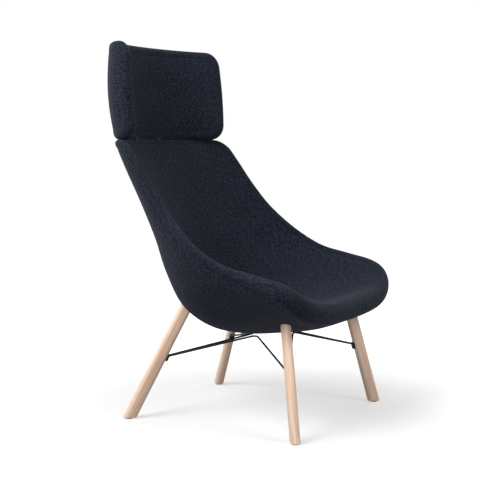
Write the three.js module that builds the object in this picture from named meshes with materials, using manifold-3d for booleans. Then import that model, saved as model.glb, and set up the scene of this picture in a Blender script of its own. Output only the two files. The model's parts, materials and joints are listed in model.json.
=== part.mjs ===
// High back lounge chair: a scooped upholstered shell and a wrap-round headrest on four
// splayed beech legs, braced by bent steel rods. Millimetres, +Z up, front towards -Y,
// origin on the floor under the middle of the whole chair.
import * as THREE from "three";
import { mergeVertices } from "three/addons/utils/BufferGeometryUtils.js";
import Module from "manifold-3d";

const wasm = await Module();
wasm.setup();

// Gap left between pieces that touch, and how far a cutting shape runs past what it cuts
const FIT_GAP = 0.3;
const CUT_OVERRUN = 20;

// Shell, measured to its middle line
const SHELL_HALF_WIDTH = 351;
const SHELL_REACH = 400;
const SHELL_LOW_HEIGHT = 268;
const SHELL_TOP_HEIGHT = 852;
const RIM_HALF_THICKNESS = 14;
const NOSE_HALF_THICKNESS = 34;
const NOSE_ROUNDING = 30;
const BACK_THICKNESS = 62;
const SEAT_THICKNESS = 92;
const SHELL_COVER_THICKNESS = 8;
const SHELL_CORE_THICKNESS = 10;
const SEAM_INSET = 12;
const SEAM_DEPTH = 3;
const SEAM_GAP = 1;
const SHELL_FRONT_SHARE = 0.8;
const FRONT_SQUARENESS = 2.7;

// Headrest: its place over and behind the middle line of the shell's top edge, its height
// over the padding, and its plan to the middle line
const HEAD_RISE = 14;
const HEAD_SETBACK = 28;
const HEAD_HEIGHT = 298;
const HEAD_TOP_RISE = 7;
const HEAD_HALF_WIDTH = 267;
const HEAD_DEPTH = 146;
const HEAD_EDGE_HALF_THICKNESS = 20;
const HEAD_MIDDLE_THICKNESS = 55;
const HEAD_COVER_THICKNESS = 9;
const HEAD_CORE_THICKNESS = 9;
const HEAD_BULGE = 11;
const HEAD_BACK_LEAN_SHARE = 0.03;
const HEAD_WING_LEAN_SHARE = 0.085;
const HEAD_SWEEP = THREE.MathUtils.degToRad(85);

// Legs: how far the feet stand inside the shell's width and reach, and the oval section
const FRONT_FOOT_INSET = 52.5;
const REAR_FOOT_INSET = 71.5;
const FOOT_SETBACK = 108.5;
const LEG_DEPTH = 38;
const LEG_WIDTH = 27;
const LEG_SQUARENESS = 2.4;
const LEG_SOCKET_DEPTH = 24;
const GLIDE_RADIUS = 10;
const GLIDE_HEIGHT = 3;

// Hanger bolts that hold the legs, and the threaded inserts in the shell
const STUD_RADIUS = 4;
const STUD_LENGTH_IN_LEG = 45;
const INSERT_RADIUS = 7;
const INSERT_MARGIN = 9;

// Brace rods and the steel clips on the legs
const ROD_RADIUS = 3;
const ROD_BEND_REACH = 16;
const ROD_SEAT_DEPTH = 5;
const ROD_SPACING = 7.6;
const ROD_APEX_CLEARANCE = 1.5;
const CLIP_HEIGHT = 197;
const CLIP_WIDTH = 17;
const CLIP_LENGTH = 23;
const CLIP_THICKNESS = 7;
const CLIP_SEAT_DEPTH = 2;
const CLIP_ROD_RISE = 5;
const CLIP_SCREW_DROP = 6;
const SCREW_RADIUS = 1.8;
const SCREW_HEAD_RADIUS = 3.2;
const SCREW_HEAD_HEIGHT = 1.8;
const SCREW_LENGTH = 20;

// Steel bars that carry the headrest
const STAY_OFFSET = 65;
const STAY_TURN = THREE.MathUtils.degToRad(6.5);
const STAY_WIDTH = 28;
const STAY_THICKNESS = 5;
const STAY_CLEARANCE = 0.8;
const STAY_LENGTH_IN_SHELL = 125;
const STAY_LENGTH_OVER_BEND = 90;
const STAY_BACK_ROOM = 4;
const STAY_NECK_DROP = 3;
const STAY_NECK_ROOM = 15;
const STAY_BEND_REACH = 12;
const BOLT_RADIUS = 3;
const BOLT_LENGTH = 14;
const BOLT_HEAD_RADIUS = 6;
const BOLT_HEAD_HEIGHT = 3.5;
const BOLT_END_DISTANCE = 14;
const BOLT_PITCH = 45;

// Colours and finishes
const FABRIC = { color: 0x23252b, roughness: 0.95, metalness: 0 };
const PLYWOOD = { color: 0xb89b72, roughness: 0.7, metalness: 0 };
const BEECH = { color: 0xe2bf98, roughness: 0.5, metalness: 0 };
const BLACK_STEEL = { color: 0x16171a, roughness: 0.4, metalness: 0.6 };
const ZINC = { color: 0xa9adb2, roughness: 0.35, metalness: 0.9 };
const FELT = { color: 0x6e6a66, roughness: 0.95, metalness: 0 };

// How finely the round shapes are divided
const SHELL_RINGS = 9;
const HEAD_RINGS = 8;
const BAR_SIDES = 8;
const LEG_SIDES = 16;
const ROUND_SIDES = 10;
const BEND_STEPS = 3;
const NEAR_EDGE_SHARE = 0.9;

const chair = new THREE.Group();

function vec(x, y, z) {
  return new THREE.Vector3(x, y, z);
}

function addMesh(name, geometry, finish) {
  geometry.computeVertexNormals();
  const mesh = new THREE.Mesh(geometry, new THREE.MeshStandardMaterial(finish));
  mesh.name = name;
  chair.add(mesh);
}

// Value that eases from low to high while t goes over a range
function eased(t, range, low, high) {
  return THREE.MathUtils.lerp(low, high, THREE.MathUtils.smoothstep(t, range[0], range[1]));
}

// Value at t on a line of [t, value] shares, eased between them
function shareAt(shares, t) {
  let value = shares[0][1];
  for (let i = 1; i < shares.length; i += 1) {
    value += eased(t, [shares[i - 1][0], shares[i][0]], 0, shares[i][1] - shares[i - 1][1]);
  }
  return value;
}

// Closed mesh from profiles that run from one shared pole to another. Its quads are split
// along the other diagonal from the row turnRow on, where the profiles run back.
function meshFromProfiles(profiles, turnRow = Infinity) {
  const count = profiles[0].length;
  const inner = count - 2;
  const points = [profiles[0][0]];
  profiles.forEach((profile) => points.push(...profile.slice(1, -1)));
  points.push(profiles[0][count - 1]);
  const last = points.length - 1;
  const at = (j, k) => 1 + (j % profiles.length) * inner + k;
  const indices = [];
  for (let j = 0; j < profiles.length; j += 1) {
    indices.push(0, at(j, 0), at(j + 1, 0));
    for (let k = 0; k < inner - 1; k += 1) {
      if (k < turnRow) {
        indices.push(at(j, k), at(j, k + 1), at(j + 1, k + 1));
        indices.push(at(j, k), at(j + 1, k + 1), at(j + 1, k));
      } else {
        indices.push(at(j, k), at(j, k + 1), at(j + 1, k));
        indices.push(at(j, k + 1), at(j + 1, k + 1), at(j + 1, k));
      }
    }
    indices.push(at(j, inner - 1), last, at(j + 1, inner - 1));
  }
  const geometry = new THREE.BufferGeometry().setFromPoints(points);
  geometry.setIndex(indices);
  return geometry;
}

// Solid for cutting, from a geometry
function solidOf(geometry) {
  const plain = geometry.clone();
  plain.deleteAttribute("normal");
  plain.deleteAttribute("uv");
  const merged = mergeVertices(plain);
  return new wasm.Manifold(new wasm.Mesh({
    numProp: 3,
    vertProperties: new Float32Array(merged.attributes.position.array),
    triVerts: new Uint32Array(merged.index.array),
  }));
}

function geometryOf(solid) {
  const mesh = solid.getMesh();
  const geometry = new THREE.BufferGeometry();
  geometry.setAttribute("position", new THREE.BufferAttribute(mesh.vertProperties, 3));
  geometry.setIndex(new THREE.BufferAttribute(mesh.triVerts, 1));
  return geometry;
}

// Geometry with every cutter taken away
function cut(geometry, cutters) {
  return geometryOf(cutters.reduce((solid, cutter) => solid.subtract(cutter), solidOf(geometry)));
}

// Padded panels: rings around a centre on a middle surface
function panelGrid(point, boundary, centreShares, rings) {
  const [centreT, centreU] = centreShares;
  const spotAt = (t, u, r) => {
    const spotT = THREE.MathUtils.lerp(centreT, t, r);
    const spotU = THREE.MathUtils.lerp(centreU, u, r);
    return { r, t: spotT, p: point(spotT, spotU) };
  };
  const pole = spotAt(centreT, centreU, 0);
  const spokes = boundary.map(([t, u], j) => {
    const edge = spotAt(t, u, 1);
    const near = spotAt(t, u, NEAR_EDGE_SHARE);
    const [before, after] = [boundary.at(j - 1), boundary[(j + 1) % boundary.length]];
    const around = point(...after).sub(point(...before)).normalize();
    const edgeSpeed = edge.p.clone().sub(near.p).cross(around).length() / (1 - NEAR_EDGE_SHARE);
    const seam = 1 - SEAM_INSET / edgeSpeed;
    const spots = [];
    for (let k = 1; k < rings; k += 1) {
      spots.push(spotAt(t, u, (seam * k) / (rings - 1)));
    }
    spots[spots.length - 1].seam = true;
    spots.push(edge);
    return spots;
  });
  addNormals(pole, spokes, rings);
  return { pole, spokes, rings };
}

function addNormals(pole, spokes, rings) {
  const count = spokes.length;
  spokes.forEach((spoke, j) => {
    const next = spokes[(j + 1) % count];
    const prev = spokes[(j + count - 1) % count];
    spoke.forEach((spot, k) => {
      const inward = k === 0 ? pole : spoke[k - 1];
      const outward = spoke[Math.min(k + 1, rings - 1)];
      const radial = outward.p.clone().sub(inward.p);
      const around = next[k].p.clone().sub(prev[k].p);
      spot.n = radial.cross(around).normalize();
    });
    const edge = spoke[rings - 1];
    edge.out = next[rings - 1].p.clone().sub(prev[rings - 1].p).cross(edge.n).normalize();
  });
  pole.n = spokes.reduce((sum, spoke) => sum.add(spoke[0].n), vec(0, 0, 0)).normalize();
}

function lifted(spot, height) {
  return spot.p.clone().addScaledVector(spot.n, height);
}

// Sheet between two heights over the middle surface, out to the seam
function sheetGeometry(grid, top, bottom) {
  const profiles = grid.spokes.map((spoke) => {
    const spots = [grid.pole, ...spoke.slice(0, grid.rings - 1)];
    const upper = spots.map((spot) => lifted(spot, top(spot)));
    const lower = spots.map((spot) => lifted(spot, bottom(spot))).reverse();
    return [...upper, ...lower];
  });
  return meshFromProfiles(profiles, grid.rings - 1);
}

// Pad with a rolled edge that closes over the sheets behind it
const rollAngles = [0, 45, 90, 135, 180].map(THREE.MathUtils.degToRad);

function padGeometry(grid, build) {
  const profiles = grid.spokes.map((spoke) => {
    const spots = [grid.pole, ...spoke.slice(0, grid.rings - 1)];
    const seamSpot = spoke[grid.rings - 2];
    const edge = spoke[grid.rings - 1];
    const wall = (height) => lifted(seamSpot, height).addScaledVector(edge.out, SEAM_GAP);
    const back = spots.slice(0, -1).map((spot) => lifted(spot, build.padBack(spot)));
    const roll = rollAngles.map((a) => {
      const height = build.outside(edge) * Math.cos(a);
      return lifted(edge, height).addScaledVector(edge.out, build.rounding(edge) * Math.sin(a));
    });
    const front = spots.map((spot) => lifted(spot, build.padFront(spot))).reverse();
    const groove = [wall(build.padBack(seamSpot)), wall(build.cover(seamSpot))];
    return [...back, ...groove, ...roll, ...front];
  });
  return meshFromProfiles(profiles, grid.rings - 2);
}

// Heights of each layer over the middle surface, outermost first
function layerHeights(sizes) {
  const cover = (spot) => sizes.outside(spot) - (spot.seam ? sizes.seam(spot) : 0);
  const coverBack = (spot) => sizes.outside(spot) - sizes.coverThickness;
  const coreTop = (spot) => coverBack(spot) - FIT_GAP;
  const coreBottom = (spot) => coreTop(spot) - sizes.coreThickness;
  const padBack = (spot) => coreBottom(spot) - FIT_GAP;
  const padFront = (spot) => {
    const crown = 1 - Math.pow(spot.r, 3);
    const thickness = THREE.MathUtils.lerp(2 * sizes.outside(spot), sizes.middle(spot), crown);
    return sizes.outside(spot) - thickness;
  };
  return { ...sizes, cover, coverBack, coreTop, coreBottom, padBack, padFront };
}

// Middle line of the shell from the top of the back to the front edge: y and z shares
const spineShares = [
  [1.0, 1.0],
  [0.81, 0.71],
  [0.65, 0.45],
  [0.556, 0.246],
  [0.438, 0.093],
  [0.235, 0.014],
  [0.0, 0.002],
  [-0.35, 0.045],
  [-0.6, 0.088],
  [-0.825, 0.15],
];

// Rim of the shell from the top corner, down the side to the front corner: x, y and z shares
const rimShares = [
  [0.85, 0.715, 1.0],
  [0.862, 0.59, 0.88],
  [0.862, 0.453, 0.752],
  [0.882, 0.298, 0.625],
  [0.945, 0.093, 0.498],
  [0.975, -0.152, 0.4],
  [0.99, -0.4, 0.347],
  [1.0, -0.6, 0.306],
  [1.0, -0.76, 0.275],
  [0.98, -0.91, 0.215],
];

// Share of a quarter turn that a cross-section sweeps, from the top to the front
const sweepShares = [[0, 0.89], [0.35, 0.89], [0.55, 0.845], [0.75, 0.69], [1, 0.5]];

// Stretches of the shell from top to front where its build changes
const noseShares = [0.6, 1];
const seatShares = [0.3, 0.6];
const seamFadeShares = [0.75, 0.95];

function shellHeight(share) {
  return THREE.MathUtils.lerp(SHELL_LOW_HEIGHT, SHELL_TOP_HEIGHT, share);
}

const spine = new THREE.CatmullRomCurve3(
  spineShares.map(([y, z]) => vec(0, y * SHELL_REACH, shellHeight(z))),
);
const rim = new THREE.CatmullRomCurve3(
  rimShares.map(([x, y, z]) => vec(x * SHELL_HALF_WIDTH, y * SHELL_REACH, shellHeight(z))),
);

// Point of the shell's middle surface: t from top to front, u from -1 to 1 across
function shellPoint(t, u) {
  const centre = spine.getPointAt(THREE.MathUtils.clamp(t, 0, 1));
  const edge = rim.getPointAt(THREE.MathUtils.clamp(t, 0, 1));
  const sweep = (shareAt(sweepShares, t) * Math.PI) / 2;
  const angle = sweep * Math.abs(u);
  const side = Math.sin(angle) / Math.sin(sweep);
  const rise = (1 - Math.cos(angle)) / (1 - Math.cos(sweep));
  return vec(
    Math.sign(u) * edge.x * side,
    THREE.MathUtils.lerp(centre.y, edge.y, rise),
    THREE.MathUtils.lerp(centre.z, edge.z, rise),
  );
}

// Rounded corners of the shell's outline, as shares of t and u
const shellTopCornerShares = [0.05, 0.85];
const shellCentreShares = [0.6, 0];

// Full outline from the points of one half, listed from the middle of the top edge
function mirrored(half) {
  return half.concat(half.slice(1, -1).reverse().map(([t, u]) => [t, -u]));
}

function shellBoundary() {
  const half = [];
  const topSteps = 4;
  const cornerSteps = 3;
  const sideSteps = 10;
  const frontSteps = 7;
  const [cornerT, cornerU] = shellTopCornerShares;
  for (let i = 0; i < topSteps; i += 1) {
    half.push([0, (cornerU * i) / topSteps]);
  }
  for (let i = 0; i < cornerSteps; i += 1) {
    const a = (i / cornerSteps) * (Math.PI / 2);
    half.push([cornerT * (1 - Math.cos(a)), cornerU + (1 - cornerU) * Math.sin(a)]);
  }
  for (let i = 0; i < sideSteps; i += 1) {
    half.push([THREE.MathUtils.lerp(cornerT, SHELL_FRONT_SHARE, i / sideSteps), 1]);
  }
  for (let i = 0; i <= frontSteps; i += 1) {
    const a = (i / frontSteps) * (Math.PI / 2);
    const power = 2 / FRONT_SQUARENESS;
    const along = Math.pow(Math.sin(a), power);
    const across = i === frontSteps ? 0 : Math.pow(Math.cos(a), power);
    half.push([THREE.MathUtils.lerp(SHELL_FRONT_SHARE, 1, along), across]);
  }
  return mirrored(half);
}

const shellGrid = panelGrid(shellPoint, shellBoundary(), shellCentreShares, SHELL_RINGS);

const shellBuild = layerHeights({
  coverThickness: SHELL_COVER_THICKNESS,
  coreThickness: SHELL_CORE_THICKNESS,
  outside: (spot) => eased(spot.t, noseShares, RIM_HALF_THICKNESS, NOSE_HALF_THICKNESS),
  rounding: (spot) => eased(spot.t, noseShares, RIM_HALF_THICKNESS, NOSE_ROUNDING),
  seam: (spot) => eased(spot.t, seamFadeShares, SEAM_DEPTH, 0),
  middle: (spot) => eased(spot.t, seatShares, BACK_THICKNESS, SEAT_THICKNESS),
});

// Headrest: an upright sheet bent round half an ellipse, t from top to bottom
const headCornerShares = [0.13, 0.87];
const headCentreShares = [0.5, 0];
const headLow = SHELL_TOP_HEIGHT + HEAD_RISE;
const headWingReach = SHELL_REACH + HEAD_SETBACK - HEAD_DEPTH;

function headPoint(t, u) {
  const top = headLow + HEAD_HEIGHT - HEAD_EDGE_HALF_THICKNESS;
  const bottom = headLow + HEAD_EDGE_HALF_THICKNESS;
  const angle = HEAD_SWEEP * u;
  const height = THREE.MathUtils.lerp(top + HEAD_TOP_RISE * (1 - u * u), bottom, t);
  const bulge = HEAD_BULGE * Math.sin(Math.PI * t);
  const leanShare = THREE.MathUtils.lerp(HEAD_BACK_LEAN_SHARE, HEAD_WING_LEAN_SHARE, u * u);
  const lean = leanShare * (height - (top + bottom) / 2);
  return vec(
    (HEAD_HALF_WIDTH + bulge) * Math.sin(angle),
    headWingReach + (HEAD_DEPTH + bulge) * Math.cos(angle) + lean,
    height,
  );
}

function headBoundary() {
  const half = [];
  const longSteps = 6;
  const cornerSteps = 3;
  const sideSteps = 3;
  const [cornerT, cornerU] = headCornerShares;
  const cornerSpot = (i) => {
    const a = (i / cornerSteps) * (Math.PI / 2);
    return [cornerT * (1 - Math.cos(a)), cornerU + (1 - cornerU) * Math.sin(a)];
  };
  for (let i = 0; i < longSteps; i += 1) {
    half.push([0, (cornerU * i) / longSteps]);
  }
  for (let i = 0; i < cornerSteps; i += 1) {
    half.push(cornerSpot(i));
  }
  for (let i = 0; i < sideSteps; i += 1) {
    half.push([THREE.MathUtils.lerp(cornerT, 1 - cornerT, i / sideSteps), 1]);
  }
  for (let i = 0; i < cornerSteps; i += 1) {
    const [t, u] = cornerSpot(cornerSteps - i);
    half.push([1 - t, u]);
  }
  for (let i = 0; i <= longSteps; i += 1) {
    half.push([1, cornerU * (1 - i / longSteps)]);
  }
  return mirrored(half);
}

const headGrid = panelGrid(headPoint, headBoundary(), headCentreShares, HEAD_RINGS);

const headBuild = layerHeights({
  coverThickness: HEAD_COVER_THICKNESS,
  coreThickness: HEAD_CORE_THICKNESS,
  outside: () => HEAD_EDGE_HALF_THICKNESS,
  rounding: () => HEAD_EDGE_HALF_THICKNESS,
  seam: () => SEAM_DEPTH,
  middle: () => HEAD_MIDDLE_THICKNESS,
});

// Straight runs from point to point with a rounded bend at each corner
function bentPath(points, reach) {
  const last = points.length - 1;
  const bends = points.slice(1, last).flatMap((corner, i) => {
    const before = corner.clone().add(points[i].clone().sub(corner).setLength(reach));
    const after = corner.clone().add(points[i + 2].clone().sub(corner).setLength(reach));
    return new THREE.QuadraticBezierCurve3(before, corner, after).getPoints(BEND_STEPS);
  });
  return [points[0], ...bends, points[last]];
}

// Path made longer at both ends
function lengthened(path, extra) {
  const last = path.length - 1;
  const start = path[0].clone().add(path[0].clone().sub(path[1]).setLength(extra));
  const end = path[last].clone().add(path[last].clone().sub(path[last - 1]).setLength(extra));
  return [start, ...path.slice(1, -1), end];
}

// Bar that follows a path in one plane: outline points are [in the plane, across it],
// anticlockwise as seen from the end of the path
function barGeometry(path, across, outline) {
  const last = path.length - 1;
  const stations = path.map((at, i) => {
    const along = path[Math.min(i + 1, last)].clone().sub(path[Math.max(i - 1, 0)]).normalize();
    return { at, inPlane: across.clone().cross(along).normalize() };
  });
  return meshFromProfiles([...outline].reverse().map(([a, b]) => [
    path[0],
    ...stations.map((s) => s.at.clone().addScaledVector(s.inPlane, a).addScaledVector(across, b)),
    path[last],
  ]));
}

// Points of a rounded outline, from a circle at squareness 2 towards a rectangle
function ovalOutline(width, depth, squareness, sides) {
  const points = [];
  for (let i = 0; i < sides; i += 1) {
    const a = (i / sides) * 2 * Math.PI;
    const share = (value) => Math.sign(value) * Math.pow(Math.abs(value), 2 / squareness);
    points.push([(width / 2) * share(Math.cos(a)), (depth / 2) * share(Math.sin(a))]);
  }
  return points;
}

function circleOutline(radius) {
  return ovalOutline(2 * radius, 2 * radius, 2, BAR_SIDES);
}

// Round piece turned from a profile of [radius, height] steps along a direction
function turnedGeometry(profile, at, direction) {
  const points = profile.map(([radius, height]) => new THREE.Vector2(radius, height));
  const turn = new THREE.Quaternion().setFromUnitVectors(vec(0, 1, 0), direction);
  const matrix = new THREE.Matrix4().compose(at, turn, vec(1, 1, 1));
  return new THREE.LatheGeometry(points, ROUND_SIDES).applyMatrix4(matrix);
}

function rodSolid(at, direction, radius, from, to) {
  return solidOf(turnedGeometry([[0, from], [radius, from], [radius, to], [0, to]], at, direction));
}

// Where a line from below first meets and leaves a shell layer, as distances along it
function crossing(geometry, start, direction) {
  const target = new THREE.Mesh(geometry, new THREE.MeshBasicMaterial({ side: THREE.DoubleSide }));
  const hits = new THREE.Raycaster(start, direction).intersectObject(target);
  return { enter: hits[0].distance, leave: hits[hits.length - 1].distance };
}

const shellCoverSheet = sheetGeometry(shellGrid, shellBuild.cover, shellBuild.coverBack);
const shellCoreSheet = sheetGeometry(shellGrid, shellBuild.coreTop, shellBuild.coreBottom);
const headCoverSheet = sheetGeometry(headGrid, headBuild.cover, headBuild.coverBack);
const headCoreSheet = sheetGeometry(headGrid, headBuild.coreTop, headBuild.coreBottom);

// Space that the shell takes from the legs
const shellSpace = solidOf(sheetGeometry(
  shellGrid,
  (spot) => shellBuild.outside(spot) + FIT_GAP,
  (spot) => shellBuild.outside(spot) - 2 * LEG_SOCKET_DEPTH,
));

// Legs: how far each leans inward and lengthways for each unit of height
const frontLeanShares = [0.205, 0.1985];
const rearLeanShares = [0.2975, 0.419];

const legs = [];
for (const [end, lengthways, inset, lean] of [
  ["front", -1, FRONT_FOOT_INSET, frontLeanShares],
  ["rear", 1, REAR_FOOT_INSET, rearLeanShares],
]) {
  const spread = SHELL_HALF_WIDTH - inset;
  const reach = SHELL_REACH - FOOT_SETBACK;
  for (const [side, sign] of [["left", -1], ["right", 1]]) {
    const foot = vec(sign * spread, lengthways * reach, 0);
    const axis = vec(-sign * lean[0], -lengthways * lean[1], 1).normalize();
    const inward = vec(-foot.x, -foot.y, 0);
    inward.addScaledVector(axis, -inward.dot(axis)).normalize();
    const tangent = axis.clone().cross(inward);
    legs.push({ name: `${end}_${side}`, foot, axis, inward, tangent });
  }
}

function alongLeg(leg, distance) {
  return leg.foot.clone().addScaledVector(leg.axis, distance);
}

// Clip on a leg: its back face sits on a flat cut in the leg's inner side
function clipPoint(leg, inward, tangent, up) {
  const centre = alongLeg(leg, CLIP_HEIGHT / leg.axis.z);
  return centre
    .addScaledVector(leg.inward, LEG_DEPTH / 2 - CLIP_SEAT_DEPTH + inward)
    .addScaledVector(leg.tangent, tangent)
    .addScaledVector(leg.axis, up);
}

function clipBlock(leg, width, length, from, to) {
  const box = new THREE.BoxGeometry(to - from, width, length);
  const basis = new THREE.Matrix4().makeBasis(leg.inward, leg.tangent, leg.axis);
  basis.setPosition(clipPoint(leg, (from + to) / 2, 0, 0));
  return box.applyMatrix4(basis);
}

// Brace rods: each joins the clips of two neighbouring legs over an apex under the shell
const legCalled = (name) => legs.find((leg) => leg.name === name);
const sideApexShares = [0.222, -0.125];
const rearApexShare = 0;
const frontApexShare = -0.345;

const rods = [
  ["left", "front_left", "rear_left", -sideApexShares[0], sideApexShares[1]],
  ["right", "front_right", "rear_right", sideApexShares[0], sideApexShares[1]],
  ["front", "front_left", "front_right", 0, frontApexShare],
  ["rear", "rear_left", "rear_right", 0, rearApexShare],
].map(([name, first, second, x, y]) => {
  const below = vec(x * SHELL_HALF_WIDTH, y * SHELL_REACH, 0);
  const underside = crossing(shellCoverSheet, below, vec(0, 0, 1)).enter;
  const apex = below.setZ(underside - ROD_APEX_CLEARANCE - ROD_RADIUS);
  const start = rodSeat(legCalled(first), apex);
  const end = rodSeat(legCalled(second), apex);
  const across = start.clone().sub(apex).cross(end.clone().sub(apex)).normalize();
  return { name, across, path: bentPath([start, apex, end], ROD_BEND_REACH) };
});

// End of a rod, sunk in the clip on the side that it leaves by
function rodSeat(leg, apex) {
  const towards = apex.clone().sub(clipPoint(leg, 0, 0, 0)).dot(leg.tangent);
  const side = (Math.sign(towards) * ROD_SPACING) / 2;
  return clipPoint(leg, CLIP_THICKNESS - ROD_SEAT_DEPTH, side, CLIP_ROD_RISE);
}

const rodHoles = rods.map((rod) => solidOf(barGeometry(
  lengthened(rod.path, FIT_GAP),
  rod.across,
  circleOutline(ROD_RADIUS + FIT_GAP),
)));

function buildRods() {
  const outline = circleOutline(ROD_RADIUS);
  rods.forEach((rod) => {
    addMesh(`brace_rod_${rod.name}`, barGeometry(rod.path, rod.across, outline), BLACK_STEEL);
  });
}

// Screw that holds a clip: the shank and the space that it needs
function clipScrew(leg, gap) {
  const radius = SCREW_RADIUS + gap;
  const profile = [[0, -gap], [radius, -gap], [radius, SCREW_LENGTH]];
  if (gap === 0) {
    const top = SCREW_LENGTH + SCREW_HEAD_HEIGHT;
    profile.push([SCREW_HEAD_RADIUS, SCREW_LENGTH], [SCREW_HEAD_RADIUS, top], [0, top]);
  } else {
    profile.push([radius, SCREW_LENGTH + CUT_OVERRUN], [0, SCREW_LENGTH + CUT_OVERRUN]);
  }
  const tip = clipPoint(leg, CLIP_THICKNESS + FIT_GAP - SCREW_LENGTH, 0, -CLIP_SCREW_DROP);
  return turnedGeometry(profile, tip, leg.inward);
}

function buildClip(leg) {
  const block = clipBlock(leg, CLIP_WIDTH, CLIP_LENGTH, FIT_GAP, CLIP_THICKNESS);
  const clip = cut(block, [...rodHoles, solidOf(clipScrew(leg, FIT_GAP))]);
  addMesh(`brace_clip_${leg.name}`, clip, BLACK_STEEL);
  addMesh(`clip_screw_${leg.name}`, clipScrew(leg, 0), BLACK_STEEL);
}

// Hanger bolt from the leg into the insert of the shell core
function studPlaces(leg) {
  const cover = crossing(shellCoverSheet, leg.foot, leg.axis);
  const core = crossing(shellCoreSheet, leg.foot, leg.axis);
  return {
    legTop: cover.enter,
    insertStart: core.enter,
    insertEnd: core.leave + INSERT_MARGIN,
  };
}

// Leg cut to the shell's underside, flat at the foot, with the seat of its clip
function buildLeg(leg, places) {
  const outline = ovalOutline(LEG_DEPTH, LEG_WIDTH, LEG_SQUARENESS, LEG_SIDES);
  const top = places.legTop + LEG_SOCKET_DEPTH;
  const path = [alongLeg(leg, -CUT_OVERRUN), alongLeg(leg, top)];
  const floorSize = 2 * CUT_OVERRUN + 2 * LEG_DEPTH;
  const floor = new THREE.BoxGeometry(floorSize, floorSize, floorSize);
  floor.translate(leg.foot.x, leg.foot.y, GLIDE_HEIGHT + FIT_GAP - floorSize / 2);
  const clipSeat = clipBlock(leg, LEG_WIDTH, CLIP_LENGTH + 2 * FIT_GAP, 0, LEG_DEPTH / 2);
  const studStart = places.legTop - STUD_LENGTH_IN_LEG - FIT_GAP;
  addMesh(`leg_${leg.name}`, cut(barGeometry(path, leg.tangent, outline), [
    shellSpace,
    solidOf(floor),
    solidOf(clipSeat),
    solidOf(clipScrew(leg, FIT_GAP)),
    rodSolid(leg.foot, leg.axis, STUD_RADIUS + FIT_GAP, studStart, top),
  ]), BEECH);
}

function buildGlide(leg) {
  const profile = [[0, 0], [GLIDE_RADIUS, 0], [GLIDE_RADIUS, GLIDE_HEIGHT], [0, GLIDE_HEIGHT]];
  addMesh(`foot_glide_${leg.name}`, turnedGeometry(profile, leg.foot, vec(0, 0, 1)), FELT);
}

// Hanger bolt and the sleeve that it screws into
function buildStud(leg, places) {
  const start = places.legTop - STUD_LENGTH_IN_LEG;
  const end = places.insertEnd;
  const stud = [[0, start], [STUD_RADIUS, start], [STUD_RADIUS, end], [0, end]];
  addMesh(`leg_stud_${leg.name}`, turnedGeometry(stud, leg.foot, leg.axis), ZINC);
  const low = places.insertStart;
  const bore = STUD_RADIUS + FIT_GAP;
  const sleeve = [[bore, low], [INSERT_RADIUS, low], [INSERT_RADIUS, end], [bore, end], [bore, low]];
  addMesh(`leg_insert_${leg.name}`, turnedGeometry(sleeve, leg.foot, leg.axis), ZINC);
}

// Room for the inserts and studs in the layers of the shell
const insertHoles = legs.map((leg) => {
  const { legTop, insertEnd } = studPlaces(leg);
  const radius = INSERT_RADIUS + FIT_GAP;
  return rodSolid(leg.foot, leg.axis, radius, legTop - CUT_OVERRUN, insertEnd + FIT_GAP);
});

// Stays: flat bars bolted to the front faces of both cores. Each is planned in an upright
// plane, in points of [distance back, height].
function stayPlane(sign) {
  const turn = sign * STAY_TURN;
  const back = vec(Math.sin(turn), Math.cos(turn), 0);
  const across = back.clone().cross(vec(0, 0, 1));
  const origin = vec(sign * STAY_OFFSET, SHELL_REACH, 0).addScaledVector(back, -2 * SHELL_REACH);
  const toSpace = (point) => origin.clone().addScaledVector(back, point.x).setZ(point.y);
  const direction = (along) => back.clone().multiplyScalar(along.x).setZ(along.y);
  return { back, across, origin, toSpace, direction };
}

// Foremost distance of a core under the width of a stay, at one height
function coreFace(plane, sheet, height) {
  const distances = [-1, 0, 1].map((edge) => {
    const start = plane.origin.clone().setZ(height);
    start.addScaledVector(plane.across, (edge * STAY_WIDTH) / 2);
    return crossing(sheet, start, plane.back).enter;
  });
  return new THREE.Vector2(Math.min(...distances), height);
}

// Straight run of a stay's middle in front of a core, between two heights
function stayRun(plane, sheet, lowHeight, highHeight) {
  const low = coreFace(plane, sheet, lowHeight);
  const high = coreFace(plane, sheet, highHeight);
  const along = high.clone().sub(low).normalize();
  const front = new THREE.Vector2(-along.y, along.x);
  const reach = STAY_THICKNESS / 2 + STAY_CLEARANCE;
  low.addScaledVector(front, reach);
  high.addScaledVector(front, reach);
  return { low, high, along, front };
}

const stayFaceShares = [0.3, 0.68];

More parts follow.
